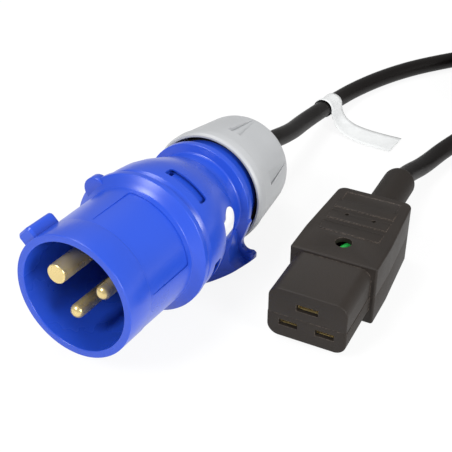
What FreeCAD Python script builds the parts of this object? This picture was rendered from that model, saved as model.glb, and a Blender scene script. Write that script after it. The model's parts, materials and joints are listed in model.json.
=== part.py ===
import FreeCAD, Part
import math
import os

import Sketcher

# A power lead: a rewirable C19 connector at one end, a round blue 16 A plug at the
# other, and the cord between them. Millimetres, +Z up, standing on z = 0. The origin
# is the bottom centre of the C19 connector, whose nose points along -Y.

V = FreeCAD.Vector
DOC = FreeCAD.newDocument("power_lead")

# ---------------------------------------------------------------- driving dimensions
DIMENSIONS = {
    # cord
    "cord_diameter": 7.8,
    "core_diameter": 2.6,
    "bore_play": 0.05,
    # C19 connector, outside
    "nose_width": 28.0,
    "nose_height": 20.0,
    "nose_length": 22.15,
    "nose_corner": 4.2,
    "nose_middle_height": 12.6,
    "nose_step": 0.15,
    "body_width": 31.8,
    "body_height": 23.8,
    "body_length": 44.2,
    "body_corner": 0.9,
    "body_edge_round": 0.8,
    "straight_length": 14.5,
    "tail_width": 28.4,
    "tail_corner": 3.2,
    "seam_height": 11.9,
    "shell_wall": 2.0,
    "tail_block": 8.0,
    # C19 openings
    "earth_slot_width": 7.7,
    "earth_slot_height": 2.6,
    "earth_slot_rise": 4.0,
    "live_slot_width": 6.7,
    "live_slot_height": 2.4,
    "live_slot_drop": 4.0,
    "live_slot_offset": 6.5,
    "face_wall": 1.8,
    "window_diameter": 5.9,
    "window_setback": 9.9,
    "peg_hole_diameter": 1.5,
    "peg_hole_offset": 5.1,
    "peg_hole_setback": 26.7,
    # C19 grip ridges and name panel
    "ridge_width": 22.4,
    "ridge_rise": 0.4,
    "ridge_length": 5.6,
    "ridge_pitch": 7.7,
    "ridge_first": 14.5,
    "panel_depth": 0.25,
    "panel_length": 7.0,
    "panel_setback": 34.3,
    # C19 contacts, screws, clamp and boot
    "contact_sheet": 0.5,
    "contact_play": 0.25,
    "contact_length": 17.0,
    "terminal_start": 2.6,
    "terminal_length": 4.8,
    "terminal_height": 5.0,
    "terminal_width": 5.6,
    "terminal_screw_diameter": 3.0,
    "bare_end_diameter": 1.8,
    "post_diameter": 6.4,
    "post_offset": 10.3,
    "post_setback": 20.0,
    "screw_diameter": 2.9,
    "screw_head_diameter": 5.0,
    "screw_head_height": 2.0,
    "screw_depth": 14.5,
    "clamp_setback": 29.0,
    "clamp_length": 5.0,
    "clamp_half": 11.0,
    "clamp_shoulder": 3.0,
    "clamp_arch": 6.0,
    "clamp_screw_offset": 8.3,
    "clamp_screw_depth": 7.0,
    "boot_diameter": 13.0,
    "boot_length": 34.0,
    "boot_end_round": 4.0,
    "boot_collar_diameter": 17.0,
    "boot_collar_length": 2.5,
    "boot_root": 6.0,
    # plug, front part
    "sleeve_radius": 22.1,
    "sleeve_bore_radius": 19.5,
    "sleeve_length": 35.0,
    "band_length": 11.0,
    "band_step": 0.25,
    "flange_radius": 26.1,
    "flange_start": 38.1,
    "flange_end": 40.0,
    "spigot_radius": 21.8,
    "spigot_end": 56.0,
    "ratchet_radius": 24.1,
    "ratchet_end": 47.0,
    "key_width": 5.8,
    "key_length": 12.2,
    "key_top_radius": 25.3,
    "key_round": 1.8,
    "ear_radius": 4.6,
    "ear_middle_radius": 23.6,
    "label_panel_depth": 0.35,
    "label_panel_angle": 88.0,
    "label_panel_middle": 88.5,
    "label_panel_start": 12.4,
    "label_panel_end": 33.0,
    # plug, pins and carrier
    "carrier_start": 39.0,
    "carrier_length": 13.0,
    "pin_circle_radius": 8.95,
    "earth_pin_diameter": 7.0,
    "line_pin_diameter": 5.0,
    "earth_pin_tip": 0.5,
    "line_pin_tip": 2.9,
    "pin_tip_bevel": 0.7,
    "pin_seat": 6.0,
    "pin_root_step": 0.8,
    "pin_collar_diameter": 8.8,
    "pin_tail_diameter": 7.4,
    "pin_tail_end": 61.0,
    # plug, rear housing
    "collar_radius": 25.2,
    "collar_start": 41.6,
    "collar_end": 52.0,
    "housing_wall": 2.4,
    "shoulder_radius": 21.7,
    "shoulder_start": 65.2,
    "waist_radius": 20.4,
    "waist_start": 70.3,
    "back_flange_radius": 23.4,
    "back_flange_start": 72.6,
    "back_flange_end": 75.2,
    "neck_radius": 19.6,
    "neck_end": 97.0,
    "slot_start": 46.3,
    "slot_end": 50.6,
    "slot_angle": 38.0,
    "window_middle": 75.2,
    "slot_count": 4,
    "wing_start": 53.2,
    "wing_radius": 30.3,
    # plug, gland
    "nut_start": 84.0,
    "nut_end": 124.0,
    "nut_radius": 23.15,
    "nut_mouth_radius": 20.8,
    "nut_mouth_depth": 8.0,
    "nut_belt_radius": 19.9,
    "nut_belt_end": 111.5,
    "nut_end_radius": 9.0,
    "nut_exit_radius": 6.0,
    "grip_count": 6,
    "grip_depth": 1.3,
    "grip_angle": 16.0,
    "grip_start": 92.5,
    "seal_start": 90.0,
    "seal_end": 106.0,
    "seal_radius": 12.5,
    "cage_start": 88.0,
    "cage_end": 108.0,
    "neck_ring_start": 81.6,
    "neck_ring_wall": 0.5,
    "plug_sheath_start": 84.0,
    # the plug as it lies
    "plug_x": -62.94,
    "plug_y": -90.65,
    "plug_heading": 3.29,
    "plug_pitch": 3.7,
    "plug_lift": 28.6,
    "key_angle": 136.7,
    # stickers
    "sticker_diameter": 11.0,
    "paper_thickness": 0.15,
    "flag_width": 12.6,
    "flag_thickness": 0.4,
    "flag_swing": -18.0,
    "label_play": 0.3,
    "flag_line": 109.5,
    "sticker_angle": 119.0,
    "sticker_line": 56.8,
    # coil
    "coil_x": 47.0,
    "coil_y": 178.0,
    "coil_middle_radius": 43.0,
    "coil_columns": 3,
    "coil_layers": 2,
    "coil_edge_round": 3.6,
    "tie_width": 9.0,
    "tie_thickness": 1.0,
}


class Size:
    """A number together with the spreadsheet words that give it."""

    def __init__(self, value, words):
        self.value, self.words = float(value), words

    def joined(self, sign, other, value):
        other = other if isinstance(other, Size) else Size(other, repr(other))
        return Size(value, f"({self.words} {sign} {other.words})")

    def __add__(self, other):
        return self.joined("+", other, self.value + number(other))

    def __sub__(self, other):
        return self.joined("-", other, self.value - number(other))

    def __mul__(self, other):
        return self.joined("*", other, self.value * number(other))

    def __truediv__(self, other):
        return self.joined("/", other, self.value / number(other))

    def __neg__(self):
        return Size(-self.value, f"(0 - {self.words})")

    def __radd__(self, other):
        return size(other) + self

    def __rsub__(self, other):
        return size(other) - self

    def __rmul__(self, other):
        return size(other) * self


def number(thing):
    """The plain value of a Size or a number."""
    return thing.value if isinstance(thing, Size) else float(thing)


def size(thing):
    """A Size, whatever it is given."""
    return thing if isinstance(thing, Size) else Size(thing, repr(thing))


def make_sheet():
    """The spreadsheet of driving dimensions, and the words that name its cells."""
    sheet = DOC.addObject("Spreadsheet::Sheet", "sizes")
    for row, (word, value) in enumerate(DIMENSIONS.items(), start=1):
        sheet.set(f"A{row}", word)
        sheet.set(f"B{row}", str(value))
        sheet.setAlias(f"B{row}", word)
    DOC.recompute()
    return type("Words", (), {w: Size(v, f"sizes.{w}") for w, v in DIMENSIONS.items()})


S = make_sheet()
PIECES = []


# ---------------------------------------------------------------- modelling helpers
def bind(thing, prop, value):
    """Set a property from the sheet."""
    if isinstance(value, Size):
        thing.setExpression(prop, value.words)
    else:
        setattr(thing, prop, value)


def new_body(label):
    """An empty body that will be written as one piece."""
    body = DOC.addObject("PartDesign::Body", label)
    body.Label = label
    PIECES.append(body)
    return body


def plane_of(body, role):
    """One of the body's own origin planes."""
    return next(f for f in body.Origin.OriginFeatures if f.Role == role)


def new_sketch(body, role, lift=0, swing=0):
    """A sketch on an origin plane, lifted off it and swung about its own upright axis."""
    sketch = body.newObject("Sketcher::SketchObject", f"{body.Label}_sketch")
    sketch.AttachmentSupport = [(plane_of(body, role), "")]
    sketch.MapMode = "FlatFace"
    turn = FreeCAD.Rotation(V(0, 1, 0), number(swing))
    sketch.AttachmentOffset = FreeCAD.Placement(V(0, 0, number(lift)), turn)
    if isinstance(lift, Size):
        sketch.setExpression("AttachmentOffset.Base.z", lift.words)
    return sketch


def add_outline(sketch, corners):
    """A closed outline. A corner is (across, up) or (across, up, rounding)."""
    at = [V(number(c[0]), number(c[1]), 0) for c in corners]
    count = len(at)
    entry, leave, arcs = list(at), list(at), {}
    for i, corner in enumerate(corners):
        if len(corner) == 3:
            before, after = at[i - 1] - at[i], at[(i + 1) % count] - at[i]
            before.normalize()
            after.normalize()
            half = math.acos(max(-1.0, min(1.0, before.dot(after)))) / 2
            radius = number(corner[2])
            reach = radius / math.tan(half)
            entry[i], leave[i] = at[i] + before * reach, at[i] + after * reach
            way = before + after
            way.normalize()
            centre = at[i] + way * (radius / math.sin(half))
            middle = centre - way * radius
            arcs[i] = Part.Arc(entry[i], middle, leave[i])
    first = sketch.GeometryCount
    lines = [Part.LineSegment(leave[i], entry[(i + 1) % count]) for i in range(count)]
    sketch.addGeometry(lines, False)
    rules = []
    for i, corner in enumerate(corners):
        before, after = first + (i - 1) % count, first + i
        across, up = size(corner[0]), size(corner[1])
        if i not in arcs:
            rules.append((Sketcher.Constraint("Coincident", before, 2, after, 1), None))
            where = (after, 1)
        else:
            arc = sketch.addGeometry(arcs[i], False)
            mark = sketch.addGeometry(Part.Point(at[i]), True)
            start = sketch.getPoint(arc, 1)
            ends = (1, 2) if start.distanceToPoint(entry[i]) < 1e-6 else (2, 1)
            rules.append((Sketcher.Constraint("Tangent", before, 2, arc, ends[0]), None))
            rules.append((Sketcher.Constraint("Tangent", arc, ends[1], after, 1), None))
            rules.append((Sketcher.Constraint("PointOnObject", mark, 1, before), None))
            rules.append((Sketcher.Constraint("PointOnObject", mark, 1, after), None))
            radius = size(corner[2])
            rules.append((Sketcher.Constraint("Radius", arc, radius.value), radius))
            where = (mark, 1)
        rules.append((Sketcher.Constraint("DistanceX", -1, 1, *where, across.value), across))
        rules.append((Sketcher.Constraint("DistanceY", -1, 1, *where, up.value), up))
    numbers = sketch.addConstraint([rule for rule, _ in rules])
    for index, (_, value) in zip(numbers, rules, strict=True):
        if value is not None and value.words.count("sizes."):
            sketch.setExpression(f"Constraints[{index}]", value.words)


def add_circle(sketch, across, up, radius):
    """A circle placed and sized from the sheet."""
    across, up, radius = size(across), size(up), size(radius)
    ring = Part.Circle(V(across.value, up.value, 0), V(0, 0, 1), radius.value)
    circle = sketch.addGeometry(ring, False)
    for value, rule in (
        (radius, Sketcher.Constraint("Radius", circle, radius.value)),
        (across, Sketcher.Constraint("DistanceX", -1, 1, circle, 3, across.value)),
        (up, Sketcher.Constraint("DistanceY", -1, 1, circle, 3, up.value)),
    ):
        index = sketch.addConstraint(rule)
        if value.words.count("sizes."):
            sketch.setExpression(f"Constraints[{index}]", value.words)


def rectangle(left, right, low, high):
    """The corners of an upright rectangle."""
    return [(left, low), (right, low), (right, high), (left, high)]


def feature(body, kind, sketch, **settings):
    """A feature made from a sketch, with settings from the sheet."""
    made = body.newObject(f"PartDesign::{kind}", f"{body.Label}_{kind.lower()}")
    made.Profile = sketch
    for name, value in settings.items():
        bind(made, name, value)
    sketch.Visibility = False
    body.Tip = made
    return made


def pad(body, sketch, length, back=False, both=False):
    """Material along the sketch's normal, or against it, or to both sides of it."""
    return feature(body, "Pad", sketch, Length=length, Reversed=back, Midplane=both)


def pocket(body, sketch, length, along=False, both=False):
    """A cut against the sketch's normal, or along it, or to both sides of it."""
    return feature(body, "Pocket", sketch, Length=length, Reversed=along, Midplane=both)


def turned(body, kind, sketch, angle=360.0, both=False):
    """A Revolution or a Groove about the sketch's upright axis."""
    made = feature(body, kind, sketch, Angle=angle, Midplane=both)
    made.ReferenceAxis = (sketch, ["V_Axis"])
    return made


def polar(body, features, count):
    """Copies of features round the body's Z axis."""
    made = body.newObject("PartDesign::PolarPattern", f"{body.Label}_pattern")
    made.Originals = features
    made.Axis = (next(f for f in body.Origin.OriginFeatures if f.Role == "Z_Axis"), [""])
    made.Angle = 360
    bind(made, "Occurrences", count)
    body.Tip = made
    return made


def rounded(body, radius, wanted, kind="Fillet"):
    """Round or bevel the edges of the body's last feature that wanted(edge) picks."""
    DOC.recompute()
    base = body.Tip
    names = [f"Edge{i}" for i, e in enumerate(base.Shape.Edges, 1) if wanted(e)]
    made = body.newObject(f"PartDesign::{kind}", f"{body.Label}_{kind.lower()}")
    made.Base = (base, names)
    bind(made, "Radius" if kind == "Fillet" else "Size", radius)
    body.Tip = made
    return made


def flat_at(axis, value):
    """Picks edges that lie at one place along an axis: 0 is X, 1 is Y, 2 is Z."""
    place = number(value)

    def wanted(edge):
        box = edge.BoundBox
        low = (box.XMin, box.YMin, box.ZMin)[axis]
        high = (box.XMax, box.YMax, box.ZMax)[axis]
        return abs(low - place) < 1e-3 and abs(high - place) < 1e-3

    return wanted


# ---------------------------------------------------------------- where things stand
NOSE_FRONT = -(S.nose_length + S.body_length + S.boot_length) / 2
BODY_FRONT = NOSE_FRONT + S.nose_length
EARTH_HEIGHT = S.nose_middle_height + S.earth_slot_rise
LIVE_HEIGHT = S.nose_middle_height - S.live_slot_drop
SHEATH_START = S.clamp_setback - 2.0
CLAMP_MIDDLE = S.clamp_setback + S.clamp_length / 2
CORD_EXIT = S.body_length + S.boot_length
CORE_RISE = S.core_diameter * 0.635
CORE_REACH = 6.0


def stand_connector(body):
    """Put a C19 piece, drawn with its body's front face at y = 0, where it stands."""
    body.setExpression("Placement.Base.y", BODY_FRONT.words)


def lay_plug(body, turn=0.0):
    """Put a plug piece, drawn with its axis along +Z and its key at +X, as it lies."""
    heading, pitch = number(S.plug_heading), number(S.plug_pitch)
    lying = FreeCAD.Rotation(V(0, 0, 1), -heading) * FreeCAD.Rotation(V(1, 0, 0), -pitch)
    upright = FreeCAD.Rotation(V(1, 0, 0), -90)
    keyed = FreeCAD.Rotation(V(0, 0, 1), -number(S.key_angle))
    spun = FreeCAD.Rotation(V(0, 0, 1), turn)
    base = V(number(S.plug_x), number(S.plug_y), number(S.plug_lift))
    body.Placement = FreeCAD.Placement(base, lying * upright * keyed * spun)
    body.setExpression("Placement.Base.x", S.plug_x.words)
    body.setExpression("Placement.Base.y", S.plug_y.words)
    body.setExpression("Placement.Base.z", S.plug_lift.words)


# ---------------------------------------------------------------- C19 connector
def plan_corners(inset, front, back, corner):
    """The connector body's outline seen from above, pulled in by inset."""
    wide, narrow = S.body_width / 2 - inset, S.tail_width / 2 - inset
    return [
        (-wide, front, corner),
        (wide, front, corner),
        (wide, S.straight_length),
        (narrow, back, S.tail_corner - inset / 2),
        (-narrow, back, S.tail_corner - inset / 2),
        (-wide, S.straight_length),
    ]


def make_shell(label, top):
    """The upper or the lower shell of the C19 connector."""
    body = new_body(label)
    far = S.body_height if top else size(0.0)
    depth = S.body_height - S.seam_height if top else S.seam_height

    plan = new_sketch(body, "XY_Plane", S.seam_height)
    add_outline(plan, plan_corners(size(0.0), size(0.0), S.body_length, S.body_corner))
    pad(body, plan, depth, back=not top)
    rounded(body, S.body_edge_round, flat_at(2, far))

    half = S.nose_width / 2 if top else S.nose_width / 2 + S.nose_step
    reach = S.nose_height / 2
    edge = S.nose_middle_height + reach if top else S.nose_middle_height - reach
    face = new_sketch(body, "XZ_Plane")
    corners = [
        (-half, S.seam_height),
        (half, S.seam_height),
        (half, edge, S.nose_corner),
        (-half, edge, S.nose_corner),
    ]
    add_outline(face, corners)
    pad(body, face, S.nose_length)
    rounded(body, 0.5, lambda e: flat_at(1, -S.nose_length)(e) and not flat_at(2, S.seam_height)(e))

    cavity = new_sketch(body, "XY_Plane", S.seam_height)
    back = S.body_length - S.tail_block
    add_outline(cavity, plan_corners(S.shell_wall, S.shell_wall, back, S.body_corner))
    pocket(body, cavity, depth - S.shell_wall, along=top)

    contacts = (
        [(size(0.0), EARTH_HEIGHT, S.earth_slot_width, S.earth_slot_height)]
        if top
        else [
            (side * S.live_slot_offset, LIVE_HEIGHT, S.live_slot_width, S.live_slot_height)
            for side in (-1, 1)
        ]
    )
    for middle, height, width, tall in contacts:
        grow = S.contact_sheet + S.contact_play
        room = new_sketch(body, "XZ_Plane", S.nose_length - S.face_wall)
        seat = tall / 2 + S.contact_sheet
        far_side = height + seat if top else height - seat
        left, right = middle - width / 2 - grow, middle + width / 2 + grow
        low, high = (S.seam_height, far_side) if top else (far_side, S.seam_height)
        add_outline(room, rectangle(left, right, low, high))
        pocket(body, room, S.nose_length - S.face_wall + S.shell_wall + 0.5)
        slot = new_sketch(body, "XZ_Plane", S.nose_length + 1)
        left, right = middle - width / 2, middle + width / 2
        add_outline(slot, rectangle(left, right, height - tall / 2, height + tall / 2))
        pocket(body, slot, S.face_wall + 2)

    tail = new_sketch(body, "XY_Plane", S.seam_height)
    root = S.body_length - S.boot_root
    bore = S.boot_diameter / 2 + S.bore_play
    groove = S.boot_collar_diameter / 2 + S.bore_play
    outline = [
        (size(0.0), back - 1),
        (S.cord_diameter / 2 + 0.4, back - 1),
        (S.cord_diameter / 2 + 0.4, root),
        (groove, root),
        (groove, root + S.boot_collar_length),
        (bore, root + S.boot_collar_length),
        (bore, S.body_length + 1),
        (size(0.0), S.body_length + 1),
    ]
    add_outline(tail, outline)
    turned(body, "Groove", tail)

    posts = new_sketch(body, "XY_Plane", S.seam_height)
    for side in (-1, 1):
        add_circle(posts, side * S.post_offset, S.post_setback, S.post_diameter / 2)
    pad(body, posts, depth - S.shell_wall / 2, back=not top)
    bores = new_sketch(body, "XY_Plane", S.seam_height)
    for side in (-1, 1):
        play = S.screw_diameter / 2 + S.bore_play
        add_circle(bores, side * S.post_offset, S.post_setback, play)
    length = S.screw_depth - S.seam_height + 2.0 if top else depth + 1
    pocket(body, bores, length, along=top)
    if top:
        finish_top(body)
    else:
        finish_bottom(body)
    stand_connector(body)
    return body


def finish_top(body):
    """The wire window, peg holes, grip ridges and bare panel of the upper shell."""
    panel = new_sketch(body, "XY_Plane", S.body_height)
    half = S.ridge_width / 2
    low, high = S.panel_setback, S.panel_setback + S.panel_length
    add_outline(panel, rectangle(-half + 0.8, half - 0.8, low, high))
    pocket(body, panel, S.panel_depth)
    for i in range(3):
        side = new_sketch(body, "YZ_Plane")
        start = S.ridge_first + i * S.ridge_pitch
        root = S.body_height - 0.3
        wedge = [
            (start, root),
            (start + S.ridge_length, root),
            (start + S.ridge_length, S.body_height + 0.02),
            (start, S.body_height + S.ridge_rise),
        ]
        add_outline(side, wedge)
        pad(body, side, S.ridge_width, both=True)
    holes = new_sketch(body, "XY_Plane", S.body_height + 1)
    add_circle(holes, 0, S.window_setback, S.window_diameter / 2)
    for side in (-1, 1):
        middle = side * S.peg_hole_offset
        add_circle(holes, middle, S.peg_hole_setback, S.peg_hole_diameter / 2)
    pocket(body, holes, S.shell_wall + 2)


def finish_bottom(body):
    """Screw head recesses and the cable saddle of the lower shell."""
    heads = new_sketch(body, "XY_Plane")
    for side in (-1, 1):
        radius = S.screw_head_diameter / 2 + 0.15
        add_circle(heads, side * S.post_offset, S.post_setback, radius)
    pocket(body, heads, S.screw_head_height + 0.3, along=True)
    saddle = new_sketch(body, "XY_Plane", S.shell_wall)
    low, high = S.clamp_setback, S.clamp_setback + S.clamp_length
    add_outline(saddle, rectangle(-S.clamp_half, S.clamp_half, low, high))
    pad(body, saddle, S.seam_height - S.shell_wall)
    seat = new_sketch(body, "XZ_Plane", -low + 1)
    add_circle(seat, 0, S.seam_height, S.cord_diameter / 2 + S.bore_play)
    pocket(body, seat, S.clamp_length + 2)
    threads = new_sketch(body, "XY_Plane", S.seam_height)
    for side in (-1, 1):
        radius = S.screw_diameter / 2 + S.bore_play
        add_circle(threads, side * S.clamp_screw_offset, CLAMP_MIDDLE, radius)
    pocket(body, threads, S.clamp_screw_depth + 0.3)


def slot_driver(body, places, low, depth, across):
    """A driver slot across each round head: one narrow cut at low, going deeper."""
    cut = new_sketch(body, "XY_Plane", low)
    for x, y in places:
        left, right = x - across / 2 - 0.5, x + across / 2 + 0.5
        add_outline(cut, rectangle(left, right, y - 0.4, y + 0.4))
    pocket(body, cut, abs(depth), along=depth > 0)


def make_contact(label, middle, height, width, tall, way):
    """A folded sheet sleeve with a terminal block behind it; way is +1 when it sits up."""
    body = new_body(label)
    sheet = S.contact_sheet
    front = S.nose_length - S.face_wall - S.contact_play
    sleeve = new_sketch(body, "XZ_Plane", front)
    left, right = middle - width / 2 - sheet, middle + width / 2 + sheet
    low, high = height - tall / 2 - sheet, height + tall / 2 + sheet
    add_outline(sleeve, [(left, low, 0.9), (right, low, 0.9), (right, high, 0.9), (left, high, 0.9)])
    pad(body, sleeve, S.contact_length, back=True)
    hollow = new_sketch(body, "XZ_Plane", front + 1)
    left, right = left + sheet, right - sheet
    low, high = low + sheet, high - sheet
    add_outline(hollow, [(left, low, 0.4), (right, low, 0.4), (right, high, 0.4), (left, high, 0.4)])
    pocket(body, hollow, S.contact_length + 2)

    far = height + way * (tall / 2 + sheet)
    tongue = new_sketch(body, "XZ_Plane", front - S.contact_length + 1)
    edge = far - way * 0.9
    low, high = (edge, far) if way > 0 else (far, edge)
    add_outline(tongue, rectangle(middle - 2.2, middle + 2.2, low, high))
    pad(body, tongue, front - S.contact_length + 1 + S.terminal_start + 1, back=True)
    block = new_sketch(body, "XZ_Plane", -S.terminal_start)
    edge = far - way * S.terminal_height
    low, high = (edge, far) if way > 0 else (far, edge)
    half = S.terminal_width / 2
    corners = [(middle - half, low, 0.6), (middle + half, low, 0.6)]
    corners += [(middle + half, high, 0.6), (middle - half, high, 0.6)]
    add_outline(block, corners)
    pad(body, block, S.terminal_length, back=True)

    hole = new_sketch(body, "XZ_Plane", -(S.terminal_start + S.terminal_length + 1))
    add_circle(hole, middle, wire_height(height, tall, way), BARE_RADIUS + S.bore_play)
    pocket(body, hole, S.terminal_length, along=True)
    thread = new_sketch(body, "XY_Plane", edge - way * 1)
    radius = S.terminal_screw_diameter / 2 + S.bore_play
    add_circle(thread, middle, SCREW_LINE, radius)
    pocket(body, thread, S.terminal_height / 2 + 1, along=way > 0)
    stand_connector(body)


def wire_height(height, tall, way):
    """The height of the wire hole in a terminal block."""
    return height + way * (tall / 2 + S.contact_sheet - S.terminal_height / 2)


BARE_RADIUS = S.bare_end_diameter / 2
SCREW_LINE = S.terminal_start + S.terminal_length / 2
WIRE_START = S.terminal_start + S.terminal_length
EARTH_WIRE = wire_height(EARTH_HEIGHT, S.earth_slot_height, 1)
LIVE_WIRE = wire_height(LIVE_HEIGHT, S.live_slot_height, -1)


def make_terminal_screws():
    """The three set screws that hold the wires in the C19 terminal blocks."""
    body = new_body("c19_terminal_screws")
    radius = S.terminal_screw_diameter / 2
    reach = S.terminal_height / 2 - BARE_RADIUS - S.bore_play
    low = new_sketch(body, "XY_Plane", EARTH_WIRE - BARE_RADIUS - S.bore_play)
    add_circle(low, 0, SCREW_LINE, radius)
    pad(body, low, reach + 0.5, back=True)
    high = new_sketch(body, "XY_Plane", LIVE_WIRE + BARE_RADIUS + S.bore_play)
    for side in (-1, 1):
        add_circle(high, side * S.live_slot_offset, SCREW_LINE, radius)
    pad(body, high, reach + 0.5)
    bottom = EARTH_WIRE - S.terminal_height / 2 - 0.5
    slot_driver(body, [(size(0.0), SCREW_LINE)], bottom, 0.7, S.terminal_screw_diameter)
    top = LIVE_WIRE + S.terminal_height / 2 + 0.5
    places = [(side * S.live_slot_offset, SCREW_LINE) for side in (-1, 1)]
    slot_driver(body, places, top, -0.7, S.terminal_screw_diameter)
    stand_connector(body)


def make_clamp():
    """The arched bar that presses the sheath into the lower shell's saddle."""
    body = new_body("c19_cable_clamp")
    bar = new_sketch(body, "XZ_Plane", -S.clamp_setback)
    low, step = S.seam_height, S.seam_height + S.clamp_shoulder
    top = S.seam_height + S.clamp_arch
    right = [(S.clamp_half, low), (S.clamp_half, step, 0.6), (size(5.6), step, 0.5), (size(4.0), top, 1.2)]
    left = [(-c[0], *c[1:]) for c in reversed(right)]
    add_outline(bar, right + left)
    pad(body, bar, S.clamp_length, back=True)
    arch = new_sketch(body, "XZ_Plane", -S.clamp_setback + 1)
    add_circle(arch, 0, S.seam_height, S.cord_diameter / 2 + S.bore_play)
    pocket(body, arch, S.clamp_length + 2)
    bores = new_sketch(body, "XY_Plane", S.seam_height - 1)
    for side in (-1, 1):
        radius = S.screw_diameter / 2 + S.bore_play
        add_circle(bores, side * S.clamp_screw_offset, CLAMP_MIDDLE, radius)
    pocket(body, bores, S.clamp_shoulder + 2, along=True)
    stand_connector(body)


def make_screws(label, offset, line, seat, head_way, shaft):
    """Two round-head screws: heads stand on seat, shafts go the other way."""
    body = new_body(label)
    places = [(side * offset, line) for side in (-1, 1)]
    heads = new_sketch(body, "XY_Plane", seat)
    for x, y in places:
        add_circle(heads, x, y, S.screw_head_diameter / 2)
    pad(body, heads, S.screw_head_height, back=head_way < 0)
    outer = seat + head_way * S.screw_head_height
    rounded(body, 0.6, flat_at(2, outer))
    shafts = new_sketch(body, "XY_Plane", seat)
    for x, y in places:
        add_circle(shafts, x, y, S.screw_diameter / 2)
    pad(body, shafts, shaft, back=head_way > 0)
    slot_driver(body, places, outer, -head_way * 0.9, S.screw_head_diameter)
    stand_connector(body)


def make_boot():
    """The flexible boot round the sheath, held by its collar in the shells' groove."""
    body = new_body("c19_cord_boot")
    side = new_sketch(body, "XY_Plane", S.seam_height)
    bore = S.cord_diameter / 2 + S.bore_play
    outer, collar = S.boot_diameter / 2, S.boot_collar_diameter / 2
    root = S.body_length - S.boot_root
    step = root + S.boot_collar_length
    outline = [
        (bore, root),
        (collar, root),
        (collar, step),
        (outer, step),
        (outer, CORD_EXIT - 2.6, S.boot_end_round),
        (bore + 0.65, CORD_EXIT, 0.8),
        (bore, CORD_EXIT),
    ]
    add_outline(side, outline)
    turned(body, "Revolution", side)
    stand_connector(body)


def core_places():
    """Where the three cores lie in the sheath: earth first."""
    side = CORE_RISE * math.sqrt(3) / 2
    return [(size(0.0), CORE_RISE), (-side, -CORE_RISE / 2), (side, -CORE_RISE / 2)]


def make_sheath_end():
    """The end of the sheath inside the C19 connector, with its three cores' holes."""
    body = new_body("c19_sheath_end")
    face = new_sketch(body, "XZ_Plane", -SHEATH_START)
    add_circle(face, 0, S.seam_height, S.cord_diameter / 2)
    pad(body, face, CORD_EXIT - SHEATH_START, back=True)
    holes = new_sketch(body, "XZ_Plane", -SHEATH_START + 1)
    for across, up in core_places():
        add_circle(holes, across, S.seam_height + up, S.core_diameter / 2 + S.bore_play)
    pocket(body, holes, CORE_REACH + 1)
    stand_connector(body)


# ---------------------------------------------------------------- cord, wires
def path_of(points):
    """Straight runs joined by tangent arcs, as one wire, and the arcs' radii."""
    runs = [b - a for a, b in zip(points, points[1:], strict=False)]
    edges, radii, start = [], [], points[0]
    for i, corner in enumerate(points[1:-1]):
        before, after = V(runs[i]), V(runs[i + 1])
        reach = 0.45 * min(before.Length, after.Length)
        before.normalize()
        after.normalize()
        turn = before.getAngle(after)
        radius = reach / math.tan(turn / 2)
        entry, leave = corner - before * reach, corner + after * reach
        way = after - before
        way.normalize()
        middle = corner + way * (radius / math.cos(turn / 2) - radius)
        edges.append(Part.LineSegment(start, entry).toShape())
        edges.append(Part.Arc(entry, middle, leave).toShape())
        radii.append(radius)
        start = leave
    edges.append(Part.LineSegment(start, points[-1]).toShape())
    return Part.Wire(edges), radii


def swept(points, radius):
    """A round tube along a path."""
    path, radii = path_of(points)
    ring = Part.Wire([Part.Circle(points[0], points[1] - points[0], radius).toShape()])
    tube = path.makePipeShell([ring], True, True)
    wanted = math.pi * radius**2 * path.Length
    if abs(tube.Volume / wanted - 1) > 0.005 or not tube.isValid():
        raise ValueError("a tube is not the volume of its section times its length")
    return tube, path.Length, min(radii)


def shaped(label, shape):
    """A piece whose shape is given directly."""
    thing = DOC.addObject("Part::Feature", label)
    thing.Label = label
    thing.Shape = shape
    PIECES.append(thing)
    return thing


def make_wire(label, points, bare):
    """An insulated core with a bare end that reaches back from its first point."""
    core, _, _ = swept(points, number(S.core_diameter) / 2)
    way = points[0] - points[1]
    way.normalize()
    copper = Part.makeCylinder(number(BARE_RADIUS), bare, points[0], way)
    return shaped(label, core.fuse(copper))


def make_connector_wires():
    """The three wires between the sheath and the C19 terminals."""
    start, sheath = number(WIRE_START), number(SHEATH_START)
    end = sheath + CORE_REACH
    earth, left, right = core_places()
    seam = number(S.seam_height)
    rise = seam + number(earth[1])
    run = [
        V(0, start, number(EARTH_WIRE)),
        V(0, start + 2.0, number(EARTH_WIRE)),
        V(-2.2, start + 6.5, number(EARTH_WIRE) - 0.4),
        V(-1.6, start + 13, rise + 0.6),
        V(0, sheath - 2.5, rise),
        V(0, end, rise),
    ]
    names = ["c19_earth_wire", "c19_line_wire", "c19_neutral_wire"]
    runs = [run]
    for side, core in ((1, right), (-1, left)):
        x, z = side * number(S.live_slot_offset), number(LIVE_WIRE)
        inner, low = number(core[0]), seam + number(core[1])
        knee = V(inner, sheath - 3.5, low)
        runs.append([V(x, start, z), V(x, start + 4, z), knee, V(inner, end, low)])
    for name, points in zip(names, runs, strict=True):
        wire = make_wire(name, points, 3.6)
        stand_connector(wire)


# ---------------------------------------------------------------- plug
def ring_body(label, corners):
    """A body turned about +Z from an outline of (radius, distance) corners."""
    body = new_body(label)
    side = new_sketch(body, "XZ_Plane")
    add_outline(side, corners)
    turned(body, "Revolution", side)
    return body


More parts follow.
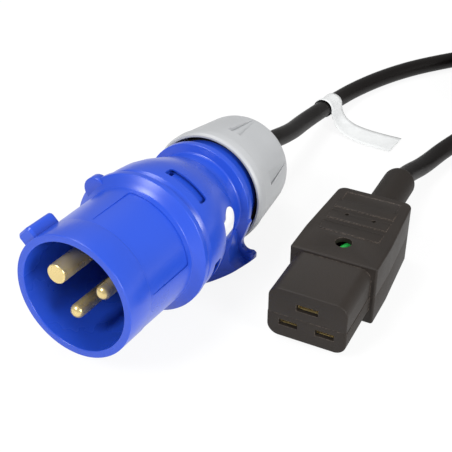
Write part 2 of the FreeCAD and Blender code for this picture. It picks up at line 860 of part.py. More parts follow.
def make_shroud():
    """The plug's front part: sleeve, key, flange with its ear, and spigot."""
    bore = S.sleeve_bore_radius
    corners = [
        (bore, size(0.0), 0.7),
        (S.sleeve_radius, size(0.0), 0.4),
        (S.sleeve_radius, S.band_length),
        (S.sleeve_radius - S.band_step, S.band_length + 0.4),
        (S.sleeve_radius + 0.1, S.sleeve_length),
        (size(24.0), S.sleeve_length + 0.9, 0.3),
        (S.flange_radius, S.flange_start, 0.3),
        (S.flange_radius, S.flange_end - 0.6),
        (S.flange_radius - 0.5, S.flange_end - 0.1),
        (S.ratchet_radius, S.flange_end - 0.1),
        (S.ratchet_radius, S.ratchet_end, 0.3),
        (S.spigot_radius, S.ratchet_end),
        (S.spigot_radius, S.spigot_end),
        (bore - 2, S.spigot_end),
        (bore - 2, S.carrier_start + S.carrier_length),
        (bore, S.carrier_start + S.carrier_length),
    ]
    body = ring_body("plug_shroud", corners)
    key = new_sketch(body, "XY_Plane", 0.4)
    half, root = S.key_width / 2, bore + 1.5
    top = S.key_top_radius
    add_outline(key, [(root, -half), (top, -half, S.key_round), (top, half, S.key_round), (root, half)])
    pad(body, key, S.key_length - 0.4)
    ear = new_sketch(body, "XY_Plane", S.flange_start - 1.9)
    add_circle(ear, S.ear_middle_radius, 0, S.ear_radius)
    pad(body, ear, S.flange_end - S.flange_start + 1.8)
    clear = new_sketch(body, "XY_Plane", S.sleeve_length)
    add_circle(clear, 0, 0, bore)
    pocket(body, clear, S.flange_end - S.sleeve_length + 2, along=True)
    panel = new_sketch(body, "XZ_Plane", 0, S.label_panel_middle)
    floor = S.sleeve_radius - S.label_panel_depth
    add_outline(panel, rectangle(floor, floor + 2, S.label_panel_start, S.label_panel_end))
    turned(body, "Groove", panel, S.label_panel_angle, both=True)
    lay_plug(body)


def pin_places():
    """Where the pins stand round the plug's axis: earth on the key's line, first."""
    return [(math.cos(math.radians(a)), math.sin(math.radians(a))) for a in (0, 120, 240)]


def make_carrier():
    """The insulating disc that carries the three pins."""
    end = S.carrier_start + S.carrier_length
    outer = S.sleeve_bore_radius - S.bore_play
    corners = [
        (size(0.0), S.carrier_start),
        (outer, S.carrier_start, 0.5),
        (outer, end),
        (size(0.0), end),
    ]
    body = ring_body("plug_pin_carrier", corners)
    diameters = [S.earth_pin_diameter, S.line_pin_diameter, S.line_pin_diameter]
    bores = new_sketch(body, "XY_Plane", S.carrier_start - 1)
    for (x, y), wide in zip(pin_places(), diameters, strict=True):
        around = S.pin_circle_radius
        add_circle(bores, around * x, around * y, (wide + S.pin_root_step) / 2 + S.bore_play)
    pocket(body, bores, S.carrier_length + 2, along=True)
    seats = new_sketch(body, "XY_Plane", end)
    for x, y in pin_places():
        radius = S.pin_collar_diameter / 2 + S.bore_play
        add_circle(seats, S.pin_circle_radius * x, S.pin_circle_radius * y, radius)
    pocket(body, seats, S.carrier_length - S.pin_seat)
    lay_plug(body)


def make_pin(label, angle, wide, tip):
    """A contact pin: its thicker root in the carrier, its collar and its terminal tail."""
    body = new_body(label)
    side = new_sketch(body, "XZ_Plane")
    seat, bevel = S.carrier_start + S.pin_seat, S.pin_tip_bevel
    root, collar = (wide + S.pin_root_step) / 2, S.pin_collar_diameter / 2
    tail = S.pin_tail_diameter / 2
    corners = [
        (size(0.0), tip),
        (wide / 2 - bevel, tip),
        (wide / 2, tip + bevel),
        (wide / 2, S.carrier_start),
        (root, S.carrier_start),
        (root, seat),
        (collar, seat),
        (collar, seat + 2),
        (tail, seat + 2),
        (tail, S.pin_tail_end, 0.4),
        (size(0.0), S.pin_tail_end),
    ]
    add_outline(side, corners)
    turned(body, "Revolution", side)
    hole = new_sketch(body, "XY_Plane", S.pin_tail_end)
    add_circle(hole, 0, 0, BARE_RADIUS + S.bore_play)
    pocket(body, hole, 6)
    thread = new_sketch(body, "YZ_Plane", tail + 1)
    add_circle(thread, 0, PIN_SCREW_LINE, S.terminal_screw_diameter / 2 + S.bore_play)
    pocket(body, thread, tail + 1)
    shift_pin(body, angle)


def shift_pin(thing, angle):
    """Put a piece drawn on the pin's own axis at its place in the plug."""
    lay_plug(thing, angle)
    thing.setExpression("Placement.Base.x", None)
    thing.setExpression("Placement.Base.y", None)
    thing.setExpression("Placement.Base.z", None)
    out = thing.Placement.Rotation.multVec(V(number(S.pin_circle_radius), 0, 0))
    base = V(number(S.plug_x), number(S.plug_y), number(S.plug_lift))
    thing.Placement = FreeCAD.Placement(base + out, thing.Placement.Rotation)


PIN_SCREW_LINE = S.pin_tail_end - 3.5


def make_plug_screws():
    """The set screws in the pins' tails."""
    body = new_body("plug_terminal_screws")
    radius = S.terminal_screw_diameter / 2
    low = BARE_RADIUS + S.bore_play + S.pin_circle_radius
    high = S.pin_tail_diameter / 2 + 0.4 + S.pin_circle_radius
    for angle in (0, 120, 240):
        face = new_sketch(body, "YZ_Plane", 0, 0)
        turn = FreeCAD.Rotation(V(0, 1, 0), angle)
        face.AttachmentOffset = FreeCAD.Placement(turn.multVec(V(0, 0, number(low))), turn)
        add_circle(face, 0, PIN_SCREW_LINE, radius)
        pad(body, face, high - low)
    lay_plug(body)


def make_rear_housing():
    """The plug's rear part: collar with bayonet windows, waist, flange, neck, wing."""
    seat = S.ratchet_radius + 0.15
    neck, wall = S.neck_radius, S.housing_wall
    corners = [
        (seat, S.collar_start),
        (S.collar_radius - 0.6, S.collar_start),
        (S.collar_radius, S.collar_start + 1.6),
        (S.collar_radius, S.collar_end + 5, 30.0),
        (S.shoulder_radius, S.shoulder_start),
        (S.shoulder_radius - 0.2, S.shoulder_start + 0.1),
        (S.waist_radius, S.waist_start - 1.7, 3.0),
        (S.waist_radius, S.back_flange_start - 0.4, 1.2),
        (S.back_flange_radius, S.back_flange_start + 0.2, 0.4),
        (S.back_flange_radius, S.back_flange_end, 0.4),
        (neck, S.back_flange_end),
        (neck, S.neck_end, 0.6),
        (neck - wall, S.neck_end),
        (neck - wall, S.shoulder_start + 1),
        (S.spigot_radius - 1.1, S.spigot_end),
        (S.spigot_radius + 0.1, S.spigot_end),
        (S.spigot_radius + 0.1, S.collar_end),
        (seat, S.collar_end),
    ]
    body = ring_body("plug_rear_housing", corners)
    window = new_sketch(body, "XZ_Plane", 0, S.window_middle)
    add_outline(window, rectangle(S.spigot_radius + 1, S.collar_radius + 1, S.slot_start, S.slot_end))
    cut = turned(body, "Groove", window, S.slot_angle, both=True)
    polar(body, [cut], S.slot_count)
    wing = new_sketch(body, "XY_Plane", S.back_flange_end)
    add_outline(wing, WING)
    pad(body, wing, S.back_flange_end - S.wing_start, back=True)
    curl = new_sketch(body, "XZ_Plane")
    beyond, rear = S.wing_radius + 4, S.back_flange_end + 1
    outside = [
        (S.collar_radius + 0.1, S.wing_start - 0.1),
        (S.wing_radius - 1.7, S.wing_start + 3.6, 5.0),
        (S.wing_radius, S.wing_start + 10, 14.0),
        (S.wing_radius, rear),
        (beyond, rear),
        (beyond, S.wing_start - 0.1),
    ]
    add_outline(curl, outside)
    turned(body, "Groove", curl)
    clear = new_sketch(body, "XZ_Plane")
    floor = [
        (size(0.0), S.wing_start - 1),
        (S.spigot_radius + 0.1, S.wing_start - 1),
        (S.spigot_radius + 0.1, S.spigot_end),
        (S.spigot_radius - 1.1, S.spigot_end),
        (neck - wall, S.shoulder_start + 1),
        (neck - wall, S.neck_end - 1),
        (size(0.0), S.neck_end - 1),
    ]
    add_outline(clear, floor)
    turned(body, "Groove", clear)
    lay_plug(body)


WING = [
    (-16.5, 9.5),
    (-16.5, -5.5),
    (-21.0, -7.0, 2.0),
    (-27.6, -4.0, 5.0),
    (-31.5, 3.0),
    (-31.5, 6.6),
    (-28.4, 7.3, 0.9),
    (-26.6, 4.7, 1.5),
    (-23.4, 4.7, 2.2),
    (-20.6, 9.5),
]


def make_cage_and_seal():
    """The clamping cage in the neck's mouth, the seal inside it and the ring on the neck."""
    room = S.neck_radius - S.housing_wall - S.bore_play
    inner = S.seal_radius + S.bore_play
    corners = [
        (inner, S.cage_start),
        (room, S.cage_start, 0.5),
        (room, S.neck_end),
        (S.neck_radius - 0.9, S.neck_end),
        (S.neck_radius - 0.9, S.neck_end + 2),
        (room, S.neck_end + 2),
        (inner + 2, S.cage_end, 0.6),
        (inner, S.cage_end),
    ]
    cage = ring_body("plug_clamp_cage", corners)
    gap = new_sketch(cage, "XY_Plane", S.cage_end + 1)
    add_outline(gap, rectangle(inner - 2, room + 2, size(-1.0), size(1.0)))
    cut = pocket(cage, gap, S.cage_end - S.neck_end - 2)
    polar(cage, [cut], 8)
    lay_plug(cage)

    bore = S.cord_diameter / 2 + S.bore_play
    corners = [
        (bore, S.seal_start + 1.2),
        (bore + 2, S.seal_start),
        (S.seal_radius, S.seal_start, 0.6),
        (S.seal_radius, S.seal_end, 0.6),
        (bore + 2, S.seal_end),
        (bore, S.seal_end - 1.2),
    ]
    seal = ring_body("plug_gland_seal", corners)
    lay_plug(seal)

    low, high = S.neck_radius + S.bore_play, S.neck_radius + S.neck_ring_wall
    back = S.nut_start + S.nut_mouth_depth - 0.1
    corners = [
        (low, S.neck_ring_start),
        (high, S.neck_ring_start, 0.3),
        (high, back),
        (low, back),
    ]
    ring = ring_body("plug_neck_ring", corners)
    lay_plug(ring)


def make_nut():
    """The gland nut: a mouth over the neck, a belt with grip recesses, a domed rear."""
    thread = S.neck_radius + 0.15
    start, end = S.nut_start, S.nut_end
    step, belt = start + S.nut_mouth_depth, S.nut_belt_radius
    corners = [
        (S.nut_mouth_radius, start, 0.3),
        (S.nut_radius - 0.4, start, 0.3),
        (S.nut_radius, start + 0.9, 1.0),
        (belt, S.nut_belt_end, 10.0),
        (S.nut_end_radius + 2.2, end - 3.2, 5.0),
        (S.nut_end_radius, end, 0.5),
        (S.nut_exit_radius, end),
        (S.nut_exit_radius, end - 3.5),
        (S.nut_exit_radius + 4.5, end - 9, 4.0),
        (belt - 6.3, S.nut_belt_end - 1, 5.0),
        (S.neck_radius - 2.0, S.neck_end + 4),
        (S.neck_radius - 1.0, S.neck_end + 2.1),
        (thread, S.neck_end + 2.1),
        (thread, step),
        (S.nut_mouth_radius, step),
    ]
    body = ring_body("plug_gland_nut", corners)
    grip = new_sketch(body, "XZ_Plane")
    beyond = S.nut_radius + 2
    wedge = [
        (S.nut_radius - 0.9 - S.grip_depth * 0.7, S.grip_start),
        (beyond, S.grip_start),
        (beyond, end - 5),
        (belt - 7.6, end - 5),
        (belt - S.grip_depth - 0.4, S.nut_belt_end - 2, 12.0),
    ]
    add_outline(grip, wedge)
    cut = turned(body, "Groove", grip, S.grip_angle, both=True)
    polar(body, [cut], S.grip_count)
    lay_plug(body)


def make_plug_sheath():
    """The end of the sheath inside the plug, from the wires' knees to the nut."""
    body = new_body("plug_sheath_end")
    face = new_sketch(body, "XY_Plane", S.plug_sheath_start)
    add_circle(face, 0, 0, S.cord_diameter / 2)
    pad(body, face, S.nut_end - S.plug_sheath_start)
    holes = new_sketch(body, "XY_Plane", S.plug_sheath_start - 1)
    for x, y in pin_places():
        add_circle(holes, CORE_RISE * x, CORE_RISE * y, S.core_diameter / 2 + S.bore_play)
    pocket(body, holes, CORE_REACH + 1, along=True)
    lay_plug(body)


def make_plug_wires():
    """The three wires between the sheath and the pins' tails."""
    out, inner = number(S.pin_circle_radius), number(CORE_RISE)
    start, sheath = number(S.pin_tail_end), number(S.plug_sheath_start)
    names = ["plug_earth_wire", "plug_line_wire", "plug_neutral_wire"]
    for name, angle in zip(names, (0, 120, 240), strict=True):
        knee = V(inner, 0, sheath - 4)
        points = [V(out, 0, start), V(out, 0, start + 5), knee, V(inner, 0, sheath + CORE_REACH)]
        wire = make_wire(name, points, 5.5)
        lay_plug(wire, angle)


def make_sticker():
    """A bare round sticker that follows the rear housing's shoulder."""
    body = new_body("plug_sticker")
    near, far = number(S.bore_play), number(S.bore_play + S.paper_thickness)
    line = number(S.collar_end) + 5
    drop = number(S.collar_radius - S.shoulder_radius)
    slope = math.atan2(drop, number(S.shoulder_start) - line)
    lean = math.tan(slope / 2)

    def offset(gap):
        return [
            (S.collar_radius + gap, S.collar_start + 8),
            (S.collar_radius + gap, S.collar_end + 5 + gap * lean, 30.0 + gap),
            (
                S.shoulder_radius + gap * math.cos(slope),
                S.shoulder_start + gap * math.sin(slope),
            ),
        ]

    side = new_sketch(body, "XZ_Plane")
    add_outline(side, offset(near) + offset(far)[::-1])
    turned(body, "Revolution", side, 46.0, both=True)
    disc = new_sketch(body, "YZ_Plane", 18)
    middle = S.sticker_line
    add_outline(disc, rectangle(-12.0, 12.0, middle - 12, middle + 12))
    add_circle(disc, 0, middle, S.sticker_diameter / 2)
    pocket(body, disc, 12, along=True)
    lay_plug(body, number(S.sticker_angle))


# ---------------------------------------------------------------- cord outside
def plug_exit():
    """Where the cord leaves the gland nut, and which way it goes."""
    heading = math.radians(number(S.plug_heading))
    pitch = math.radians(number(S.plug_pitch))
    way = V(
        math.sin(heading) * math.cos(pitch),
        math.cos(heading) * math.cos(pitch),
        -math.sin(pitch),
    )
    base = V(number(S.plug_x), number(S.plug_y), number(S.plug_lift))
    return base + way * number(S.nut_end), way


def lay_coil(body):
    """Put a coil piece, drawn with its tie at +X, where the coil lies, its tie at the back."""
    base = V(number(S.coil_x), number(S.coil_y), 0)
    body.Placement = FreeCAD.Placement(base, FreeCAD.Rotation(V(0, 0, 1), 90))
    body.setExpression("Placement.Base.x", S.coil_x.words)
    body.setExpression("Placement.Base.y", S.coil_y.words)


def make_coil():
    """The hanked cord as one ring with a notch under its tie."""
    body = new_body("cord_coil")
    side = new_sketch(body, "XZ_Plane")
    half = S.cord_diameter * S.coil_columns / 2
    inner, outer = S.coil_middle_radius - half, S.coil_middle_radius + half
    top, edge = S.cord_diameter * S.coil_layers, S.coil_edge_round
    corners = [(inner, 0.0, edge), (outer, 0.0, edge), (outer, top, edge), (inner, top, edge)]
    add_outline(side, [(a, size(b), c) for a, b, c in corners])
    turned(body, "Revolution", side)
    notch = new_sketch(body, "XY_Plane", -1)
    half = S.tie_width / 2 + 0.2
    add_outline(notch, rectangle(inner - 3, outer + 3, -half, half))
    pocket(body, notch, S.tie_thickness + 1.05, along=True)
    lay_coil(body)

    tie = new_body("coil_tie")
    band = new_sketch(tie, "XZ_Plane")
    near, far, thick = inner - 0.5, outer + 0.05, S.tie_thickness
    high = top + 0.05
    outline = [(near - thick, size(0.0)), (far + thick, size(0.0))]
    outline += [(far + thick, high + thick), (near - thick, high + thick)]
    add_outline(band, [(a, b, edge) for a, b in outline])
    pad(tie, band, S.tie_width, both=True)
    room = new_sketch(tie, "XZ_Plane")
    outline = [(near, thick), (far, thick), (far, high), (near, high)]
    add_outline(room, [(a, b, edge / 3) for a, b in outline])
    pocket(tie, room, S.tie_width + 2, both=True)
    lock = new_sketch(tie, "YZ_Plane", far)
    add_outline(lock, rectangle(size(-5.5), size(5.5), high / 2 - 3, high / 2 + 3))
    pad(tie, lock, 2.6)
    lay_coil(tie)
    return body


def make_cord(coil):
    """The two visible lengths of cord, each cut where it goes into the coil."""
    DOC.recompute()
    ring = coil.Shape
    start, way = plug_exit()
    to_plug = [start, start + way * 14]
    to_plug += [V(*p) for p in PLUG_ROUTE]
    exit_y = number(BODY_FRONT + CORD_EXIT)
    to_connector = [V(0, exit_y, number(S.seam_height)), V(0, exit_y + 12, number(S.seam_height))]
    to_connector += [V(*p) for p in CONNECTOR_ROUTE]
    for label, points in (("cord_to_plug", to_plug), ("cord_to_connector", to_connector)):
        tube, length, radius = swept(points, number(S.cord_diameter) / 2)
        rest = tube.cut(ring)
        solid = max(rest.Solids, key=lambda s: s.Volume)
        kept = solid.Volume / tube.Volume
        print(f"{label}: length {length:.0f}, tightest bend {radius:.0f}, kept {kept:.2f}")
        shaped(label, solid)
    return path_of(to_plug)[0]


PLUG_ROUTE = [
    (-54.0, 61.5, 15.9),
    (-54.3, 77.5, 12.0),
    (-54.3, 94.5, 8.8),
    (-53.4, 112.5, 6.1),
    (-50.4, 131.0, 4.3),
    (-43.0, 150.5, 4.0),
    (-32.6, 168.5, 4.1),
    (-19.6, 185.0, 4.0),
    (-5.0, 200.5, 4.1),
    (12.0, 214.0, 4.0),
    (31.0, 224.0, 4.1),
]
CONNECTOR_ROUTE = [
    (3.2, 76.0, 9.9),
    (8.6, 92.0, 7.9),
    (17.0, 107.6, 9.6),
    (30.5, 119.0, 14.6),
    (47.0, 125.0, 20.0),
    (63.5, 132.0, 20.2),
    (79.0, 143.0, 14.0),
]


def make_label(path):
    """A bare paper flag wrapped once round the cord, its end curling down to the floor."""
    points = path.discretize(Number=600)
    line = number(S.flag_line)
    near = min(range(1, len(points) - 1), key=lambda i: abs(points[i].y - line))
    way = points[near + 1] - points[near - 1]
    body = new_body("cord_label")
    inner = S.cord_diameter / 2 + S.label_play
    outer = inner + S.flag_thickness
    wrap = new_sketch(body, "XZ_Plane")
    add_circle(wrap, 0, 0, outer)
    pad(body, wrap, S.flag_width, both=True)
    strip = new_sketch(body, "XZ_Plane", 0, S.flag_swing)
    add_outline(strip, FLAG)
    pad(body, strip, S.flag_width, both=True)
    bore = new_sketch(body, "XZ_Plane")
    add_circle(bore, 0, 0, inner)
    pocket(body, bore, S.flag_width + 8, both=True)
    body.Placement = FreeCAD.Placement(points[near], FreeCAD.Rotation(V(0, 1, 0), way))


FLAG = [
    (4.2, 0.6),
    (4.65, 0.6),
    (6.6, -5.4, 7.6),
    (38.0, -6.0),
    (38.0, -6.4),
    (6.3, -5.8, 8.0),
]


# ---------------------------------------------------------------- build and write
def build():
    """Make every piece."""
    make_shell("c19_upper_shell", True)
    make_shell("c19_lower_shell", False)
    live = [LIVE_HEIGHT, S.live_slot_width, S.live_slot_height, -1]
    make_contact("c19_earth_contact", size(0.0), EARTH_HEIGHT, S.earth_slot_width, S.earth_slot_height, 1)
    make_contact("c19_line_contact", S.live_slot_offset, *live)
    make_contact("c19_neutral_contact", -S.live_slot_offset, *live)
    make_terminal_screws()
    make_clamp()
    seat = S.seam_height + S.clamp_shoulder
    shaft = S.clamp_shoulder + S.clamp_screw_depth
    make_screws("c19_clamp_screws", S.clamp_screw_offset, CLAMP_MIDDLE, seat, 1, shaft)
    seat = S.screw_head_height + 0.3
    make_screws("c19_housing_screws", S.post_offset, S.post_setback, seat, -1, S.screw_depth - 0.6)
    make_boot()
    make_sheath_end()
    make_connector_wires()
    make_shroud()
    make_carrier()
    make_pin("plug_earth_pin", 0, S.earth_pin_diameter, S.earth_pin_tip)
    make_pin("plug_line_pin", 120, S.line_pin_diameter, S.line_pin_tip)
    make_pin("plug_neutral_pin", 240, S.line_pin_diameter, S.line_pin_tip)
    make_plug_screws()
    make_rear_housing()
    make_cage_and_seal()
    make_nut()
    make_plug_sheath()
    make_plug_wires()
    make_sticker()
    make_label(make_cord(make_coil()))
    DOC.recompute()


def check():
    """Stop if anything failed to build or a cut cut nothing."""
    for thing in DOC.Objects:
        if "Invalid" in thing.State or "Error" in thing.State:
            raise ValueError(f"{thing.Label} did not build: {thing.State}")
        if thing.TypeId in ("PartDesign::Pocket", "PartDesign::Groove"):
            before = thing.BaseFeature.Shape.Volume
            if before - thing.Shape.Volume < 1e-3:
                raise ValueError(f"{thing.Name} cuts nothing")
    for piece in PIECES:
        if piece.Shape.isNull() or not piece.Shape.isValid() or not piece.Shape.Solids:
            raise ValueError(f"{piece.Label} is not a valid solid")


def write():
    """Write each piece to its own file."""
    os.makedirs("parts", exist_ok=True)
    for piece in PIECES:
        piece.Shape.exportStep(f"parts/{piece.Label}.step")
        box = piece.Shape.BoundBox
        print(f"{piece.Label}: {len(piece.Shape.Solids)} solid, low z {box.ZMin:.2f}")


build()
check()
write()
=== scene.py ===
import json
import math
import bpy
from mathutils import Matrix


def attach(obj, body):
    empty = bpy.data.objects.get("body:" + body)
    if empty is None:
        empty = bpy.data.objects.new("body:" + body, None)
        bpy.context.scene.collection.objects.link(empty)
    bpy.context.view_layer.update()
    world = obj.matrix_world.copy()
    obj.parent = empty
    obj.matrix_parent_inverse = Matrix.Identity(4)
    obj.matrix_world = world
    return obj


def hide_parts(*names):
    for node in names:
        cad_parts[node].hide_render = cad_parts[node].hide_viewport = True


bl_info = {
    "name": "Power lead",
    "version": (1, 0, 0),
    "blender": (4, 5, 0),
    "location": "3D View > Sidebar > Power lead",
    "description": "A C19 connector and a blue 16 A plug on one dark cord",
    "category": "Add Mesh",
}

import bmesh
import bpy
from mathutils import Matrix, Vector
from mathutils.bvhtree import BVHTree

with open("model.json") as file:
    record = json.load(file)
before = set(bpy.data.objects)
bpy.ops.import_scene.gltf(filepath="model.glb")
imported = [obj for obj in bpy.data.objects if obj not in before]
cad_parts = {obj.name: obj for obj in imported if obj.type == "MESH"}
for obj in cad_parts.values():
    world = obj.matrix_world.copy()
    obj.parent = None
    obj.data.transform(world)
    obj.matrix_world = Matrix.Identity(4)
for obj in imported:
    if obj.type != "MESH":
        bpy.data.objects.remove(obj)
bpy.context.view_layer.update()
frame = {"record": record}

MM = 0.001


# ---------------------------------------------------------------- places
def millimetres(matrix):
    """A placement for a piece drawn in millimetres."""
    return matrix @ Matrix.Scale(MM, 4)


def turn(degrees, axis):
    """A turn about one axis."""
    return Matrix.Rotation(math.radians(degrees), 4, axis)


PLUG_AXES = turn(-3.29, "Z") @ turn(-3.7, "X") @ turn(-90, "X") @ turn(-136.7, "Z")
PLUG = millimetres(Matrix.Translation(Vector((-62.94, -90.65, 28.6)) * MM) @ PLUG_AXES)
CONNECTOR = millimetres(Matrix.Translation(Vector((0, -28.025, 0)) * MM))


# ---------------------------------------------------------------- sizes and colours
class PowerLeadSizes(bpy.types.PropertyGroup):
    """Sizes of the power lead's looks."""

    cord_diameter: bpy.props.FloatProperty(
        name="Cord diameter", description="Outside of the sheath", default=0.0078, unit="LENGTH"
    )
    cord_length: bpy.props.FloatProperty(
        name="Cord length", description="Free length of the cord", default=1.82, unit="LENGTH"
    )
    edge_softness: bpy.props.FloatProperty(
        name="Edge softness", description="Rounding of cut edges", default=0.00014, unit="LENGTH"
    )
    sleeve_blue: bpy.props.FloatVectorProperty(
        name="Plug blue",
        description="Colour of the plug",
        subtype="COLOR",
        default=(0.015, 0.060, 0.455),
    )
    nut_grey: bpy.props.FloatVectorProperty(
        name="Nut grey",
        description="Colour of the gland nut",
        subtype="COLOR",
        default=(0.37, 0.378, 0.388),
    )
    shell_charcoal: bpy.props.FloatVectorProperty(
        name="Connector charcoal",
        description="Colour of the C19 shells",
        subtype="COLOR",
        default=(0.0175, 0.0136, 0.0110),
    )
    cord_charcoal: bpy.props.FloatVectorProperty(
        name="Cord charcoal",
        description="Colour of the cord",
        subtype="COLOR",
        default=(0.0042, 0.0034, 0.0030),
    )


def sizes():
    """The panel's sizes and colours."""
    return bpy.context.scene.power_lead


# ---------------------------------------------------------------- materials
def shader_material(name, colour, roughness, **sockets):
    """A material with one Principled shader; returns it with its nodes and links."""
    material = bpy.data.materials.new(name)
    material.use_nodes = True
    nodes, links = material.node_tree.nodes, material.node_tree.links
    shader = nodes["Principled BSDF"]
    shader.inputs["Base Color"].default_value = (*colour, 1)
    shader.inputs["Roughness"].default_value = roughness
    for socket, value in sockets.items():
        shader.inputs[socket.replace("_", " ")].default_value = value
    return material, nodes, links, shader


def grain(nodes, links, shader, scale, strength, distance, detail=3.0, normal=None):
    """Fine moulded grain: a noise on object coordinates, as bump."""
    place = nodes.new("ShaderNodeTexCoord")
    noise = nodes.new("ShaderNodeTexNoise")
    noise.inputs["Scale"].default_value = scale
    noise.inputs["Detail"].default_value = detail
    bump = nodes.new("ShaderNodeBump")
    bump.inputs["Strength"].default_value = strength
    bump.inputs["Distance"].default_value = distance
    links.new(place.outputs["Object"], noise.inputs["Vector"])
    links.new(noise.outputs["Fac"], bump.inputs["Height"])
    if normal is not None:
        links.new(normal, bump.inputs["Normal"])
    links.new(bump.outputs["Normal"], shader.inputs["Normal"])
    return place, noise


def mottle(nodes, links, shader, place, scale, colours, roughnesses):
    """Slow change of colour and of roughness over the surface; returns the colour."""
    noise = nodes.new("ShaderNodeTexNoise")
    noise.inputs["Scale"].default_value = scale
    noise.inputs["Detail"].default_value = 4.0
    links.new(place.outputs["Object"], noise.inputs["Vector"])
    ramp = nodes.new("ShaderNodeValToRGB")
    ramp.color_ramp.elements[0].position, ramp.color_ramp.elements[1].position = 0.35, 0.65
    ramp.color_ramp.elements[0].color = (*colours[0], 1)
    ramp.color_ramp.elements[1].color = (*colours[1], 1)
    links.new(noise.outputs["Fac"], ramp.inputs["Fac"])
    links.new(ramp.outputs["Color"], shader.inputs["Base Color"])
    gloss = nodes.new("ShaderNodeMapRange")
    gloss.inputs["From Min"].default_value, gloss.inputs["From Max"].default_value = 0.3, 0.7
    gloss.inputs["To Min"].default_value, gloss.inputs["To Max"].default_value = roughnesses
    links.new(noise.outputs["Fac"], gloss.inputs["Value"])
    links.new(gloss.outputs["Result"], shader.inputs["Roughness"])
    return ramp.outputs["Color"]


def shade(colour, factor):
    """A colour made darker or lighter."""
    return [min(1.0, c * factor) for c in colour]


def spark_textured_plastic(name, colour, roughness, specular=0.4):
    """Matt plastic from a spark-eroded mould."""
    material, nodes, links, shader = shader_material(name, colour, roughness)
    shader.inputs["Specular IOR Level"].default_value = specular
    place, _ = grain(nodes, links, shader, 2600, 0.30, 0.0001, 2.0)
    mottle(
        nodes, links, shader, place, 55, (shade(colour, 0.93), shade(colour, 1.08)),
        (roughness - 0.04, roughness + 0.05),
    )
    return material


def worn_and_highlit_shell(name, colour, roughness):
    """Spark-textured shell plastic, its edges paler in speckles: partly rubbed wear, partly a
    painted highlight.
    """
    material, nodes, links, shader = shader_material(name, colour, roughness)
    shader.inputs["Specular IOR Level"].default_value = 0.24
    place, _ = grain(nodes, links, shader, 2300, 0.42, 0.00012, 2.0)
    body = mottle(
        nodes, links, shader, place, 60, (shade(colour, 0.88), shade(colour, 1.12)),
        (roughness - 0.05, roughness + 0.06),
    )
    # The marked edge faces are made paler in speckles: partly rubbed wear, partly a painted
    # highlight where edges catch the light.
    wear_and_highlight = nodes.new("ShaderNodeAttribute")
    wear_and_highlight.attribute_name = "wear_and_highlight"
    specks = nodes.new("ShaderNodeTexNoise")
    specks.inputs["Scale"].default_value = 1900
    specks.inputs["Detail"].default_value = 3.0
    links.new(place.outputs["Object"], specks.inputs["Vector"])
    share = nodes.new("ShaderNodeMapRange")
    share.inputs["From Min"].default_value, share.inputs["From Max"].default_value = 0.42, 0.62
    share.inputs["To Max"].default_value = 0.6
    links.new(specks.outputs["Fac"], share.inputs["Value"])
    amount = nodes.new("ShaderNodeMath")
    amount.operation = "MULTIPLY"
    links.new(wear_and_highlight.outputs["Fac"], amount.inputs[0])
    links.new(share.outputs["Result"], amount.inputs[1])
    paler = nodes.new("ShaderNodeMix")
    paler.data_type = "RGBA"
    paler.inputs["B"].default_value = (*shade(colour, 6.0), 1)
    links.new(amount.outputs["Value"], paler.inputs["Factor"])
    links.new(body, paler.inputs["A"])
    links.new(paler.outputs["Result"], shader.inputs["Base Color"])
    return material


def glossy_moulding(name, colour, roughness, specular=0.5):
    """Softly glossy technical plastic with a faint flow pattern."""
    material, nodes, links, shader = shader_material(name, colour, roughness)
    shader.inputs["Specular IOR Level"].default_value = specular
    place, _ = grain(nodes, links, shader, 1400, 0.10, 0.00008, 2.0)
    mottle(
        nodes, links, shader, place, 26, (shade(colour, 0.95), shade(colour, 1.05)),
        (roughness - 0.03, roughness + 0.04),
    )
    return material


def turned_brass(name, colour, roughness, metallic):
    """Bright brass with fine turning rings round the plug's axis."""
    material, nodes, links, shader = shader_material(name, colour, roughness, Metallic=metallic)
    place = nodes.new("ShaderNodeTexCoord")
    along = nodes.new("ShaderNodeMapping")
    along.vector_type = "TEXTURE"
    along.inputs["Rotation"].default_value = PLUG_AXES.to_euler()
    links.new(place.outputs["Object"], along.inputs["Vector"])
    rings = nodes.new("ShaderNodeTexWave")
    rings.bands_direction = "Z"
    rings.inputs["Scale"].default_value = 520
    rings.inputs["Distortion"].default_value = 0.3
    rings.inputs["Detail"].default_value = 2.0
    rings.inputs["Detail Scale"].default_value = 3.0
    links.new(along.outputs["Vector"], rings.inputs["Vector"])
    bump = nodes.new("ShaderNodeBump")
    bump.inputs["Strength"].default_value = 0.12
    bump.inputs["Distance"].default_value = 0.00005
    links.new(rings.outputs["Fac"], bump.inputs["Height"])
    links.new(bump.outputs["Normal"], shader.inputs["Normal"])
    mottle(
        nodes, links, shader, place, 120, (shade(colour, 0.92), shade(colour, 1.05)),
        (roughness - 0.05, roughness + 0.07),
    )
    return material


def paper(name, colour):
    """Matt label paper with a faint fibre."""
    material, nodes, links, shader = shader_material(name, colour, 0.6)
    shader.inputs["Specular IOR Level"].default_value = 0.3
    place, _ = grain(nodes, links, shader, 900, 0.12, 0.0001, 5.0)
    mottle(nodes, links, shader, place, 180, (shade(colour, 0.95), colour), (0.52, 0.66))
    return material


